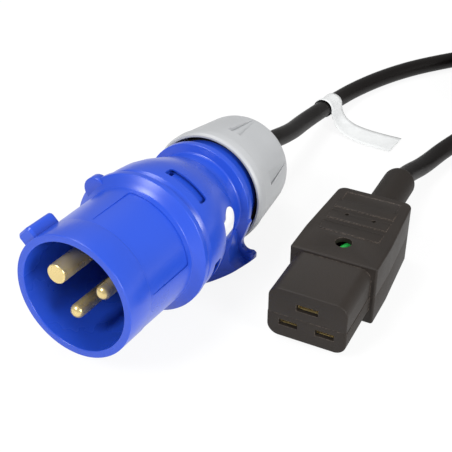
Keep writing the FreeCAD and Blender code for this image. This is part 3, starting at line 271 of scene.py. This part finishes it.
def make_materials():
    """Every finish, by the record's slot."""
    look = sizes()
    made = {
        "dark_plastic": worn_and_highlit_shell("connector_charcoal", look.shell_charcoal, 0.55),
        "dark_rubber": spark_textured_plastic(
            "boot_charcoal", shade(look.shell_charcoal, 0.75), 0.6, 0.22
        ),
        "cord_sheath": spark_textured_plastic("cord_charcoal", look.cord_charcoal, 0.42, 0.16),
        "blue_plastic": glossy_moulding("plug_blue", look.sleeve_blue, 0.28, 0.48),
        "grey_plastic": glossy_moulding("nut_grey", look.nut_grey, 0.45),
        "carrier_plastic": spark_textured_plastic("carrier_navy", (0.012, 0.018, 0.07), 0.5),
        "brass": turned_brass("pin_brass", (0.76, 0.60, 0.27), 0.27, 0.7),
        "steel": turned_brass("zinc_steel", (0.58, 0.58, 0.57), 0.3, 0.9),
        "white_label": paper("label_white", (0.62, 0.63, 0.63)),
        "sticker": paper("sticker_white", (0.86, 0.86, 0.86)),
        "tie_plastic": glossy_moulding("tie_black", (0.02, 0.02, 0.02), 0.4),
        "earth_core": glossy_moulding("earth_green", (0.02, 0.42, 0.07), 0.4),
        "line_core": glossy_moulding("line_brown", (0.12, 0.05, 0.02), 0.4),
        "neutral_core": glossy_moulding("neutral_blue", (0.02, 0.08, 0.45), 0.4),
    }
    return made


# ---------------------------------------------------------------- cord's route, in mm
PLUG_EXIT = PLUG @ Vector((0, 0, 124)) / MM
PLUG_KNEE = PLUG @ Vector((0, 0, 132)) / MM
CONNECTOR_LEG = [
    (0.0, 50.175, 11.9),
    (0.2, 57.6, 10.4),
    (2.8, 71.8, 6.9),
    (6.8, 92.0, 6.2),
    (16.2, 107.6, 10.4),
    (30.5, 119.0, 14.6),
]
PLUG_LEG = [
    (-53.9, 60.0, 14.8),
    (-54.3, 77.5, 11.9),
    (-53.3, 95.5, 9.3),
    (-54.0, 112.8, 5.3),
    (-50.4, 131.0, 4.3),
    (-43.0, 150.5, 4.0),
    (-32.6, 168.5, 4.1),
    (-19.6, 185.0, 4.0),
    (-5.0, 200.5, 4.1),
]
COIL_CENTRE = (47.0, 178.0)
COIL_RADIUS = 43.0
COIL_ENTRY = 118.0
COIL_TURNS = 5.578


def eased(value, steps):
    """A value that goes through steps of (from, to, new value), smoothly in each."""
    level = steps[0]
    for start, end, new in steps[1:]:
        if value >= end:
            level = new
        elif value > start:
            part = (1 - math.cos(math.pi * (value - start) / (end - start))) / 2
            return level + (new - level) * part
    return level


def coil_points():
    """The coil's control points, from the plug's side to the connector's."""
    wide, step = 7.8, 1 / 16
    across = (wide, (0.75, 1.0, 0), (1.7, 2.0, -wide), (3.1, 3.4, 0), (4.15, 4.4, wide))
    up = (wide / 2, (2.4, 2.7, 1.5 * wide), (5.2, 5.45, 2.5 * wide))
    points = []
    for i in range(1, int(COIL_TURNS / step) + 1):
        t = i * step
        radius = (COIL_RADIUS + eased(t, across)) / 0.981
        angle = math.radians(COIL_ENTRY - 360 * t)
        x = COIL_CENTRE[0] + radius * math.cos(angle)
        y = COIL_CENTRE[1] + radius * math.sin(angle)
        points.append((x, y, eased(t, up)))
    return points


def cord_route():
    """The whole free cord, from the connector's boot to the plug's nut."""
    way_out = [tuple(PLUG_EXIT), tuple(PLUG_KNEE), *PLUG_LEG]
    return CONNECTOR_LEG + coil_points()[::-1] + way_out[::-1]


# ---------------------------------------------------------------- shapes, drawn in mm
ROUND = 216
TEETH = 144


def drawn(corners, closed=True):
    """An outline in the XZ plane from corners (x, z) or (x, z, rounding)."""
    bm = bmesh.new()
    verts = [bm.verts.new((corner[0], 0, corner[1])) for corner in corners]
    count = len(verts)
    for i in range(count if closed else count - 1):
        bm.edges.new((verts[i], verts[(i + 1) % count]))
    for i, corner in enumerate(corners):
        if len(corner) < 3:
            continue
        here = Vector(corner[:2])
        back = Vector(corners[i - 1][:2]) - here
        ahead = Vector(corners[(i + 1) % count][:2]) - here
        bend = math.pi - back.angle(ahead)
        bmesh.ops.bevel(
            bm,
            geom=[verts[i]],
            offset=corner[2] * math.tan(bend / 2),
            offset_type="OFFSET",
            affect="VERTICES",
            segments=max(2, round(math.degrees(bend) / 12)),
            profile=0.5,
            material=-1,
        )
    return bm


def tidied(bm, near=0.001):
    """Merge what lies together, and turn the faces outwards."""
    bmesh.ops.remove_doubles(bm, verts=bm.verts[:], dist=near)
    bmesh.ops.recalc_face_normals(bm, faces=bm.faces[:])
    return bm


def lathe(corners, steps=ROUND):
    """An outline of (radius, distance) corners, turned about +Z; it may end on the axis."""
    bm = drawn(corners, closed=min(corner[0] for corner in corners) > 0)
    bmesh.ops.spin(
        bm,
        geom=bm.verts[:] + bm.edges[:],
        cent=(0, 0, 0),
        axis=(0, 0, 1),
        angle=math.tau,
        steps=steps,
        use_merge=True,
    )
    return tidied(bm)


def filled(corners):
    """An outline in the XZ plane with its face."""
    bm = drawn(corners)
    bmesh.ops.contextual_create(bm, geom=bm.edges[:])
    return bm


def sector(corners, start, sweep, steps=12):
    """An outline of (radius, distance) corners, turned through part of a circle."""
    bm = filled(corners)
    bmesh.ops.rotate(bm, verts=bm.verts[:], matrix=turn(start, "Z").to_3x3())
    bmesh.ops.spin(
        bm,
        geom=bm.verts[:] + bm.edges[:] + bm.faces[:],
        cent=(0, 0, 0),
        axis=(0, 0, 1),
        angle=math.radians(sweep),
        steps=steps,
    )
    return tidied(bm)


def slab(corners, low, high):
    """An outline of (x, y) corners, from low to high along +Z."""
    bm = filled(corners)
    bmesh.ops.rotate(bm, verts=bm.verts[:], matrix=turn(90, "X").to_3x3())
    bmesh.ops.scale(bm, verts=bm.verts[:], vec=(1, -1, 1))
    raised = bmesh.ops.extrude_face_region(bm, geom=bm.faces[:])["geom"]
    top = [v for v in raised if isinstance(v, bmesh.types.BMVert)]
    for vert in bm.verts:
        vert.co.z = low
    bmesh.ops.translate(bm, verts=top, vec=(0, 0, high - low))
    return tidied(bm)


def rod(radius, low, high, x=0.0, y=0.0, steps=48):
    """A round rod along +Z."""
    bm = lathe([(0, low), (radius, low), (radius, high), (0, high)], steps)
    bmesh.ops.translate(bm, verts=bm.verts[:], vec=(x, y, 0))
    return bm


def sharp(bm, angle):
    """The edges of a mesh that bend by more than an angle."""
    limit = math.radians(angle)
    return [e for e in bm.edges if e.is_manifold and e.calc_face_angle() > limit]


def rounded(bm, edges, reach, segments=2):
    """Round some edges; returns the new faces."""
    made = bmesh.ops.bevel(
        bm,
        geom=edges,
        offset=reach,
        offset_type="OFFSET",
        affect="EDGES",
        segments=segments,
        profile=0.5,
        material=-1,
        clamp_overlap=False,
    )
    return made["faces"]


def as_object(bm):
    """A bmesh as an object in the scene."""
    mesh = bpy.data.meshes.new("shape")
    bm.to_mesh(mesh)
    bm.free()
    made = bpy.data.objects.new("shape", mesh)
    bpy.context.scene.collection.objects.link(made)
    return made


def combined(base, *steps):
    """A mesh of one shape with others joined to it or cut from it, in order."""
    body = as_object(base)
    tools = [as_object(shape) for _, shape in steps]
    for (operation, _), tool in zip(steps, tools, strict=True):
        cut = body.modifiers.new("step", "BOOLEAN")
        cut.operation, cut.solver, cut.object = operation, "EXACT", tool
    bpy.context.view_layer.update()
    whole = body.evaluated_get(bpy.context.evaluated_depsgraph_get())
    mesh = bpy.data.meshes.new_from_object(whole)
    for thing in [body, *tools]:
        spare = thing.data
        bpy.data.objects.remove(thing)
        bpy.data.meshes.remove(spare)
    bm = bmesh.new()
    bm.from_mesh(mesh)
    bpy.data.meshes.remove(mesh)
    bmesh.ops.remove_doubles(bm, verts=bm.verts[:], dist=0.02)
    bmesh.ops.dissolve_degenerate(bm, edges=bm.edges[:], dist=0.01)
    return bm


def piece(name, bm, place):
    """A finished piece: the shape in its place, smooth up to its edges."""
    mesh = bpy.data.meshes.new(name)
    bm.to_mesh(mesh)
    bm.free()
    mesh.transform(place)
    mesh.shade_smooth()
    mesh.set_sharp_from_angle(angle=math.radians(32))
    made = bpy.data.objects.new(name, mesh)
    bpy.context.scene.collection.objects.link(made)
    return made


# ---------------------------------------------------------------- making pieces
FINISHES = {}


def own(thing, slot, *nodes, finish=None):
    """Ride on the part, take a slot's finish, and stand for CAD nodes."""
    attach(thing, "root")
    thing.data.materials.clear()
    thing.data.materials.append(bpy.data.materials[FINISHES[finish or slot]])
    if nodes:
        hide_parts(*nodes)
    return thing


def softened(node, slot):
    """A copy of a moulded solid with its sharp edges rounded, and those edge faces marked for
    paler speckles that are partly rubbed wear, partly a painted highlight.
    """
    bm = bmesh.new()
    bm.from_mesh(bpy.data.objects[node].data)
    bmesh.ops.scale(bm, verts=bm.verts[:], vec=(1000, 1000, 1000))
    bmesh.ops.remove_doubles(bm, verts=bm.verts[:], dist=0.001)
    bmesh.ops.dissolve_limit(
        bm, angle_limit=math.radians(0.5), verts=bm.verts[:], edges=bm.edges[:]
    )
    # Faces of the rounded edges are marked for the shell's paler speckles: partly rubbed wear,
    # partly a painted highlight.
    wear_and_highlight_layer = bm.faces.layers.float.new("wear_and_highlight")
    for face in rounded(bm, sharp(bm, 40), sizes().edge_softness / MM):
        face[wear_and_highlight_layer] = 1.0
    return own(piece(f"{node}_moulding", bm, Matrix.Scale(MM, 4)), slot, node)


class POWERLEAD_OT_camera(bpy.types.Operator):
    """Set up the camera"""

    bl_idname = "powerlead.camera"
    bl_label = "Camera"

    def execute(self, context):
        lens = bpy.data.cameras.new("camera")
        lens.sensor_width, lens.lens = 36.0, 960.3246 / 452 * 36
        lens.clip_start, lens.clip_end = 0.01, 20
        camera = bpy.data.objects.new("camera", lens)
        context.scene.collection.objects.link(camera)
        yaw, pitch, roll = 0.46246, 0.60296, -0.00153
        ahead = Vector(
            (-math.sin(yaw) * math.cos(pitch), math.cos(yaw) * math.cos(pitch), -math.sin(pitch))
        )
        right = Vector((math.cos(yaw), math.sin(yaw), 0))
        up = right.cross(ahead)
        tilt = Matrix.Rotation(roll, 3, ahead)
        right, up = tilt @ right, tilt @ up
        axes = Matrix((right, up, -ahead)).transposed().to_4x4()
        camera.matrix_world = Matrix.Translation((0.0844251, -0.278846, 0.217171)) @ axes
        context.scene.camera = camera
        return {"FINISHED"}


class POWERLEAD_OT_cord(bpy.types.Operator):
    """Lay the free cord with its coil"""

    bl_idname = "powerlead.cord"
    bl_label = "Cord"

    def execute(self, context):
        look = sizes()
        for slot, material in make_materials().items():
            FINISHES[slot] = material.name
        curve = bpy.data.curves.new("cord", "CURVE")
        curve.dimensions = "3D"
        curve.bevel_depth = look.cord_diameter / 2
        curve.bevel_resolution = 6
        curve.resolution_u = 6
        curve.use_fill_caps = True
        spline = curve.splines.new("NURBS")
        route = cord_route()
        spline.points.add(len(route) - 1)
        for point, place in zip(spline.points, route, strict=True):
            point.co = (*(Vector(place) * MM), 1)
        spline.order_u = 3
        spline.use_endpoint_u = True
        cord = bpy.data.objects.new("cord", curve)
        context.scene.collection.objects.link(cord)
        own(cord, "cord_sheath", "cord_to_plug", "cord_to_connector", "cord_coil")
        return {"FINISHED"}


def cord_line():
    """The middle of the cord near the plug, as points in mm."""
    plain = bpy.data.objects["cord"].data.copy()
    plain.bevel_depth = 0
    carrier = bpy.data.objects.new("line", plain)
    mesh = bpy.data.meshes.new_from_object(carrier)
    points = [v.co / MM for v in mesh.vertices if v.co.x < -0.03]
    bpy.data.objects.remove(carrier)
    bpy.data.meshes.remove(mesh)
    bpy.data.curves.remove(plain)
    return points


# The plug's pieces are drawn along +Z from the sleeve's mouth, and turned about it.
WINDOWS = 4
POCKET = [(21.85, 47.6), (25, 47.6), (25, 51), (21.85, 51)]
WINDOW = [(22.6, 46.3), (27, 46.3), (27, 50.7), (22.6, 50.7)]
STICKER = {"angle": 129.0, "along": 61.4, "reach": 6.4, "spread": 6.1}
STICKER_LIFT = 0.1
GRIPS = 6
GRIP = [(20.35, 92.8), (26, 92.8), (26, 111), (19.5, 111)]
GRIP_START = 52
GRIP_SWEEP = 15
PIN_CIRCLE = 8.95


class POWERLEAD_OT_sleeve(bpy.types.Operator):
    """Turn the plug's sleeve with its key, bayonet ring and catch ear"""

    bl_idname = "powerlead.sleeve"
    bl_label = "Plug sleeve"

    def execute(self, context):
        ring_end = 46.8
        body = lathe(
            [
                (19.5, 0.0, 0.35),
                (22.1, 0.0, 0.3),
                (22.1, 11.0, 0.1),
                (21.85, 11.35, 0.1),
                (22.2, 35.0, 0.35),
                (23.9, 36.2, 0.2),
                (26.1, 37.5, 0.28),
                (26.1, 39.5, 0.15),
                (25.7, 39.9, 0.15),
                (24.1, 39.9),
                (24.1, ring_end),
                (23.2, ring_end),
                (23.2, 52.0),
                (21.8, 52.0),
                (21.8, 56.0, 0.3),
                (17.5, 56.0),
                (17.5, 52.0),
                (19.5, 52.0),
            ],
            2 * TEETH,
        )
        for vert in body.verts:
            if abs(vert.co.z - ring_end) < 0.01:
                place = round(math.atan2(vert.co.y, vert.co.x) / math.tau * 2 * TEETH)
                vert.co.z += 0.55 * (place % 2)
        key = slab([(20.6, -3.5), (26.0, -3.5, 1.5), (26.0, 3.5, 1.5), (20.6, 3.5)], 0.5, 12.6)
        ends = [e for e in sharp(key, 60) if abs(e.verts[0].co.z - e.verts[1].co.z) < 0.1]
        rounded(key, [e for e in ends if e.verts[0].co.z < 6 and e.verts[0].co.x > 20.7], 0.7, 1)
        ends = [e for e in sharp(key, 60) if e.verts[0].co.z > 12.5 and e.verts[1].co.z > 12.5]
        rounded(key, [e for e in ends if max(v.co.x for v in e.verts) > 20.7], 1.4, 5)
        ear = slab([(20.6, -4.6), (28.2, -4.6, 4.5), (28.2, 4.6, 4.5), (20.6, 4.6)], 36.2, 39.9)
        rounded(ear, sharp(ear, 60), 0.2, 2)
        panel = sector([(21.72, 12.4), (24, 12.4), (24, 33), (21.72, 33)], 44.5, 88, 40)
        corners = [e for e in sharp(panel, 60) if abs(e.verts[0].co.z - e.verts[1].co.z) < 0.1]
        radial = [e for e in corners if e.calc_length() > 2]
        rounded(panel, radial, 1.4, 4)
        pockets = [
            ("DIFFERENCE", sector(POCKET, 55 + 90 * i, 5))
            for i in range(WINDOWS)
        ]
        whole = combined(body, ("UNION", key), ("UNION", ear), ("DIFFERENCE", panel), *pockets)
        own(piece("plug_sleeve_moulding", whole, PLUG), "blue_plastic", "plug_shroud")
        return {"FINISHED"}


class POWERLEAD_OT_housing(bpy.types.Operator):
    """Turn the plug's rear housing, cut its bayonet windows and add its hook"""

    bl_idname = "powerlead.housing"
    bl_label = "Plug rear housing"

    def execute(self, context):
        body = lathe(
            [
                (24.25, 41.2),
                (24.4, 41.2, 0.1),
                (25.2, 42.9, 0.3),
                (25.2, 52.0, 30.0),
                (19.75, 67.9, 0.32),
                (18.3, 68.5, 0.3),
                (18.3, 74.4, 0.8),
                (21.65, 75.1, 0.32),
                (21.65, 77.6, 0.2),
                (19.3, 77.6),
                (19.3, 97.0, 0.6),
                (17.0, 97.0),
                (17.0, 66.2),
                (20.7, 56.0),
                (21.9, 56.0),
                (21.9, 52.0),
                (24.25, 52.0),
            ]
        )
        slope = slab([(-34, -16), (-10, -16), (-10, 16), (-34, 16)], 0, 30)
        bmesh.ops.rotate(slope, verts=slope.verts[:], matrix=turn(221.3, "X").to_3x3())
        bmesh.ops.translate(slope, verts=slope.verts[:], vec=(0, -5.5, 61.8))
        blade = combined(slab(HOOK_BLADE, 54.5, 76.5), ("DIFFERENCE", slope))
        rim = slab(HOOK_RIM, 75.1, 77.6)
        rounded(rim, [e for e in sharp(rim, 60) if e.verts[0].co.z == e.verts[1].co.z], 0.2, 2)
        curl = lathe(
            [
                (25.3, 54.4),
                (27.6, 59.0, 6.0),
                (29.6, 67.0, 14.0),
                (30.8, 75.3, 10.0),
                (31.0, 78.0),
                (36.0, 78.0),
                (36.0, 54.4),
            ]
        )
        bore = lathe(
            [(0, 50), (21.9, 50), (21.9, 56.0), (20.7, 56.0), (17.0, 66.2), (17.0, 96), (0, 96)],
            96,
        )
        flat = slab([(20.2, -20), (30, -20), (30, 20), (20.2, 20)], 54.6, 74.6)
        bmesh.ops.rotate(flat, verts=flat.verts[:], matrix=turn(150, "Z").to_3x3())
        steps = [
            ("DIFFERENCE", flat),
            ("UNION", blade),
            ("UNION", rim),
            ("DIFFERENCE", curl),
            ("DIFFERENCE", bore),
        ]
        for i in range(WINDOWS):
            window = sector(WINDOW, 56.2 + 90 * i, 38, 24)
            ends = [e for e in sharp(window, 60) if e.calc_length() > 4.3]
            radial = [e for e in ends if abs(e.verts[0].co.z - e.verts[1].co.z) < 0.1]
            rounded(window, radial, 1.2, 4)
            steps.append(("DIFFERENCE", window))
        whole = combined(body, *steps)
        disc = draped(whole, **STICKER)
        own(piece("plug_housing_moulding", whole, PLUG), "blue_plastic", "plug_rear_housing")
        sticker = piece("plug_sticker_disc", disc, PLUG)
        own(sticker, "white_label", "plug_sticker", finish="sticker")
        ring = lathe([(19.32, 84.5), (19.9, 84.5, 0.2), (19.9, 87.5, 0.2), (19.32, 87.5)])
        own(piece("plug_neck_seal", ring, PLUG), "dark_rubber", "plug_neck_ring")
        return {"FINISHED"}


def draped(bm, angle, along, reach, spread):
    """A round sticker, as one sheet, laid on a shape that is turned about +Z."""
    usual_radius, outside = 22, 30
    tree = BVHTree.FromBMesh(bm)
    disc = bmesh.new()
    bmesh.ops.create_grid(disc, x_segments=28, y_segments=28, size=1)
    for vert in disc.verts:
        x, y, _ = vert.co
        vert.co = (x * math.sqrt(1 - y * y / 2), y * math.sqrt(1 - x * x / 2), 0)
        way = math.radians(angle) + vert.co.y * spread / usual_radius
        out = Vector((math.cos(way), math.sin(way), 0))
        start = out * outside + Vector((0, 0, along + vert.co.x * reach))
        hit, _, _, _ = tree.ray_cast(start, -out)
        vert.co = hit + out * STICKER_LIFT
    bmesh.ops.recalc_face_normals(disc, faces=disc.faces[:])
    return disc


HOOK_RIM = [
    (-15.0, 12.5),
    (-15.0, -7.5),
    (-21.5, -8.6, 2.0),
    (-27.4, -5.9, 5.0),
    (-30.8, 0.0, 4.0),
    (-30.8, 3.4, 0.8),
    (-29.4, 4.9, 0.7),
    (-28.0, 4.7, 1.0),
    (-26.4, 2.5, 2.6),
    (-23.0, 2.9, 2.8),
    (-21.4, 6.6, 4.0),
    (-18.6, 12.5),
]
HOOK_BLADE = [
    (-15.0, 6.0),
    (-15.0, -9.5),
    (-21.5, -12.0, 2.0),
    (-28.0, -8.0, 5.0),
    (-30.8, -1.0, 4.0),
    (-30.8, 1.4),
    (-28.2, 0.5, 1.5),
    (-25.3, 0.4, 3.0),
    (-22.7, 2.0, 3.0),
    (-18.5, 6.0),
]


class POWERLEAD_OT_nut(bpy.types.Operator):
    """Turn the gland nut and cut its six grip recesses"""

    bl_idname = "powerlead.nut"
    bl_label = "Gland nut"

    def execute(self, context):
        body = lathe(
            [
                (21.3, 82.1, 0.25),
                (22.2, 82.1, 0.25),
                (22.8, 83.2, 0.8),
                (22.7, 86.8, 0.3),
                (22.5, 87.2, 0.3),
                (19.5, 111.5, 10.0),
                (11.0, 120.8, 5.0),
                (9.0, 124.0, 0.5),
                (6.0, 124.0, 0.4),
                (6.0, 120.5),
                (10.5, 115.0, 4.0),
                (13.6, 110.5, 5.0),
                (17.6, 101.0),
                (18.6, 99.1),
                (19.75, 99.1),
                (19.75, 92.0),
                (20.8, 92.0),
                (21.3, 90.0),
            ]
        )
        steps = []
        for i in range(GRIPS):
            start, sweep = GRIP_START + 60 * i, GRIP_SWEEP
            grip = sector(GRIP, start, sweep, 10)
            for vert in grip.verts:
                radius, angle = vert.co.xy.length, math.atan2(vert.co.y, vert.co.x)
                share = (math.degrees(angle) - start + 1) % 360 / sweep - 1 / sweep
                # Narrows to its middle at the rear. Its floor rises to one side in front.
                if vert.co.z > 100:
                    share = 0.5 + (share - 0.5) * 0.12
                elif radius < 25:
                    radius += 0.6 * max(0, share - 0.55) / 0.45
                way = math.radians(start + sweep * share)
                vert.co.xy = (radius * math.cos(way), radius * math.sin(way))
            steps.append(("DIFFERENCE", grip))
        whole = combined(body, *steps)
        own(piece("plug_nut_moulding", whole, PLUG), "grey_plastic", "plug_gland_nut")
        return {"FINISHED"}


class POWERLEAD_OT_pins(bpy.types.Operator):
    """Turn the three contact pins"""

    bl_idname = "powerlead.pins"
    bl_label = "Contact pins"

    def execute(self, context):
        kinds = (
            ("plug_earth_pin", 0, 7.0, 0.5, 0.55),
            ("plug_line_pin", 120, 5.0, 2.9, 2.1),
            ("plug_neutral_pin", 240, 5.0, 2.9, 2.1),
        )
        for node, angle, wide, tip, dome in kinds:
            body = lathe(
                [
                    (0, tip),
                    (wide / 2, tip, dome),
                    (wide / 2, 39.0),
                    (wide / 2 + 0.4, 39.0),
                    (wide / 2 + 0.4, 45.0),
                    (4.4, 45.0),
                    (4.4, 47.0),
                    (3.7, 47.0),
                    (3.7, 61.0, 0.4),
                    (0, 61.0),
                ],
                72,
            )
            core = rod(0.95, 55, 62)
            thread = rod(1.55, 0, 5)
            bmesh.ops.rotate(thread, verts=thread.verts[:], matrix=turn(90, "Y").to_3x3())
            bmesh.ops.translate(thread, verts=thread.verts[:], vec=(0, 0, 57.5))
            whole = combined(body, ("DIFFERENCE", core), ("DIFFERENCE", thread))
            place = PLUG @ turn(angle, "Z") @ Matrix.Translation((PIN_CIRCLE, 0, 0))
            own(piece(f"{node}_turned", whole, place), "brass", node)
        return {"FINISHED"}


class POWERLEAD_OT_connector(bpy.types.Operator):
    """Round the edges of the connector's mouldings and mark them for paler speckles: partly
    rubbed wear, partly a painted highlight
    """

    bl_idname = "powerlead.connector"
    bl_label = "Connector shells"

    def execute(self, context):
        softened("c19_upper_shell", "dark_plastic")
        softened("c19_lower_shell", "dark_plastic")
        core = rod(1.3, -6, 6)
        bmesh.ops.rotate(core, verts=core.verts[:], matrix=turn(90, "X").to_3x3())
        bmesh.ops.rotate(core, verts=core.verts[:], matrix=turn(-24, "Z").to_3x3())
        bmesh.ops.translate(core, verts=core.verts[:], vec=(-1.1, 9.9, 19.9))
        own(piece("c19_earth_loop", core, CONNECTOR), "earth_core")
        return {"FINISHED"}


class POWERLEAD_OT_label(bpy.types.Operator):
    """Wrap the paper flag round the cord"""

    bl_idname = "powerlead.label"
    bl_label = "Paper flag"

    def execute(self, context):
        line = cord_line()
        near, width, radius = 98.7, 13.9, 4.45
        wrap = math.tau * 0.93 * radius
        flag = 35.5
        bm = bmesh.new()
        bmesh.ops.create_grid(bm, x_segments=150, y_segments=6, size=0.5)
        for vert in bm.verts:
            run = (vert.co.x + 0.5) * (wrap + flag)
            across = near + (vert.co.y + 0.5) * width
            middle = min(line, key=lambda p: abs(p.y - across))
            if run < wrap:
                angle = (run - wrap) / radius
                x = middle.x + radius * math.cos(angle)
                z = middle.z - radius * math.sin(angle)
                vert.co = (x, across, z)
            else:
                vert.co = hanging(run - wrap, across, middle, radius)
        bmesh.ops.recalc_face_normals(bm, faces=bm.faces[:])
        ribbon = piece("cord_paper_flag", bm, Matrix.Scale(MM, 4))
        ribbon = own(ribbon, "white_label", "cord_label")
        thick = ribbon.modifiers.new("paper", "SOLIDIFY")
        thick.thickness, thick.offset = 0.00012, 0.0
        return {"FINISHED"}


def hanging(run, across, middle, radius):
    """A point of the flag's free end: steeply down from the cord, then out along the floor."""
    x, z, pieces = middle.x + radius, middle.z, 24
    ease = (z - 0.8) / 1.37
    for i in range(pieces):
        way = math.pi / 2 * (1 - math.exp(-(i + 0.5) / pieces * run / ease))
        x += math.sin(way) * run / pieces
        z -= math.cos(way) * run / pieces
    drift = 11 * (1 - math.exp(-(x - middle.x - radius) / 8))
    return (x, across - drift, z)


class POWERLEAD_OT_declaration(bpy.types.Operator):
    """Does nothing and returns at once"""

    bl_idname = "powerlead.declaration"
    bl_label = "Cord's declaration"

    def execute(self, context):
        return {"FINISHED"}


class POWERLEAD_OT_finishes(bpy.types.Operator):
    """Give every carried-over solid its finish"""

    bl_idname = "powerlead.finishes"
    bl_label = "Finishes of the solids"

    def execute(self, context):
        slots = {s["node"]: s["material_slot"] for s in frame["record"]["subparts"]}
        for node, slot in slots.items():
            solid = bpy.data.objects[node]
            solid.data.materials.clear()
            solid.data.materials.append(bpy.data.materials[FINISHES[slot]])
        return {"FINISHED"}


class POWERLEAD_OT_stage(bpy.types.Operator):
    """Set the floor, the lamps and the world"""

    bl_idname = "powerlead.stage"
    bl_label = "Stage"

    def execute(self, context):
        mesh = bpy.data.meshes.new("floor")
        bm = bmesh.new()
        bmesh.ops.create_grid(bm, x_segments=1, y_segments=1, size=4)
        bm.to_mesh(mesh)
        bm.free()
        floor = bpy.data.objects.new("floor", mesh)
        context.scene.collection.objects.link(floor)
        material, nodes, links, shader = shader_material("floor_white", (0.9, 0.9, 0.9), 1.0)
        shader.inputs["Specular IOR Level"].default_value = 0.0
        path = nodes.new("ShaderNodeLightPath")
        glow = nodes.new("ShaderNodeEmission")
        glow.inputs["Strength"].default_value = 1.0
        both = nodes.new("ShaderNodeMixShader")
        most = nodes.new("ShaderNodeMath")
        most.operation = "MAXIMUM"
        links.new(path.outputs["Is Camera Ray"], most.inputs[0])
        links.new(path.outputs["Is Glossy Ray"], most.inputs[1])
        share = nodes.new("ShaderNodeMath")
        share.operation = "MULTIPLY"
        share.inputs[1].default_value = 0.9
        links.new(most.outputs["Value"], share.inputs[0])
        links.new(share.outputs["Value"], both.inputs["Fac"])
        links.new(shader.outputs["BSDF"], both.inputs[1])
        links.new(glow.outputs["Emission"], both.inputs[2])
        links.new(both.outputs["Shader"], nodes["Material Output"].inputs["Surface"])
        floor.data.materials.append(material)

        world = bpy.data.worlds.new("world")
        world.use_nodes = True
        context.scene.world = world
        nodes, links = world.node_tree.nodes, world.node_tree.links
        back = nodes["Background"]
        back.inputs["Color"].default_value = (1, 1, 1, 1)
        back.inputs["Strength"].default_value = 0.45
        white = nodes.new("ShaderNodeBackground")
        white.inputs["Strength"].default_value = 1.0
        path = nodes.new("ShaderNodeLightPath")
        mix = nodes.new("ShaderNodeMixShader")
        links.new(path.outputs["Is Camera Ray"], mix.inputs["Fac"])
        links.new(back.outputs["Background"], mix.inputs[1])
        links.new(white.outputs["Background"], mix.inputs[2])
        links.new(mix.outputs["Shader"], nodes["World Output"].inputs["Surface"])

        lamps = (
            ("key", (-0.42, -0.80, 0.85), (-0.05, -0.05, 0.02), 0.42, 10.0),
            ("side", (0.85, -0.30, 0.40), (0, 0, 0.02), 0.40, 9.0),
            ("sky", (-0.40, 0.25, 1.00), (-0.05, 0, 0.02), 0.5, 5.0),
        )
        for name, place, aim, wide, power in lamps:
            light = bpy.data.lights.new(name, "AREA")
            light.shape = "DISK"
            light.size, light.energy = wide, power
            lamp = bpy.data.objects.new(name, light)
            lamp.location = place
            way = Vector(aim) - Vector(place)
            lamp.rotation_euler = way.to_track_quat("-Z", "Y").to_euler()
            context.scene.collection.objects.link(lamp)
        context.scene.view_settings.view_transform = "Standard"
        return {"FINISHED"}


class POWERLEAD_PT_panel(bpy.types.Panel):
    """The power lead's sizes and steps"""

    bl_label = "Power lead"
    bl_idname = "POWERLEAD_PT_panel"
    bl_space_type = "VIEW_3D"
    bl_region_type = "UI"
    bl_category = "Power lead"

    def draw(self, context):
        for name in PowerLeadSizes.__annotations__:
            self.layout.prop(context.scene.power_lead, name)
        for step in STEPS:
            self.layout.operator(step.bl_idname)


STEPS = (
    POWERLEAD_OT_camera,
    POWERLEAD_OT_cord,
    POWERLEAD_OT_sleeve,
    POWERLEAD_OT_housing,
    POWERLEAD_OT_nut,
    POWERLEAD_OT_pins,
    POWERLEAD_OT_connector,
    POWERLEAD_OT_label,
    POWERLEAD_OT_declaration,
    POWERLEAD_OT_finishes,
    POWERLEAD_OT_stage,
)
CLASSES = (PowerLeadSizes, *STEPS, POWERLEAD_PT_panel)


def register():
    """Register the classes and the sizes."""
    for made in CLASSES:
        bpy.utils.register_class(made)
    bpy.types.Scene.power_lead = bpy.props.PointerProperty(type=PowerLeadSizes)


def unregister():
    """Remove the classes and the sizes."""
    del bpy.types.Scene.power_lead
    for made in reversed(CLASSES):
        bpy.utils.unregister_class(made)


def main():
    """Make every piece in order."""
    register()
    bpy.ops.powerlead.camera()
    bpy.ops.powerlead.cord()
    bpy.ops.powerlead.sleeve()
    bpy.ops.powerlead.housing()
    bpy.ops.powerlead.nut()
    bpy.ops.powerlead.pins()
    bpy.ops.powerlead.connector()
    bpy.ops.powerlead.label()
    bpy.ops.powerlead.declaration()
    bpy.ops.powerlead.finishes()
    bpy.ops.powerlead.stage()


if __name__ == "__main__":
    main()
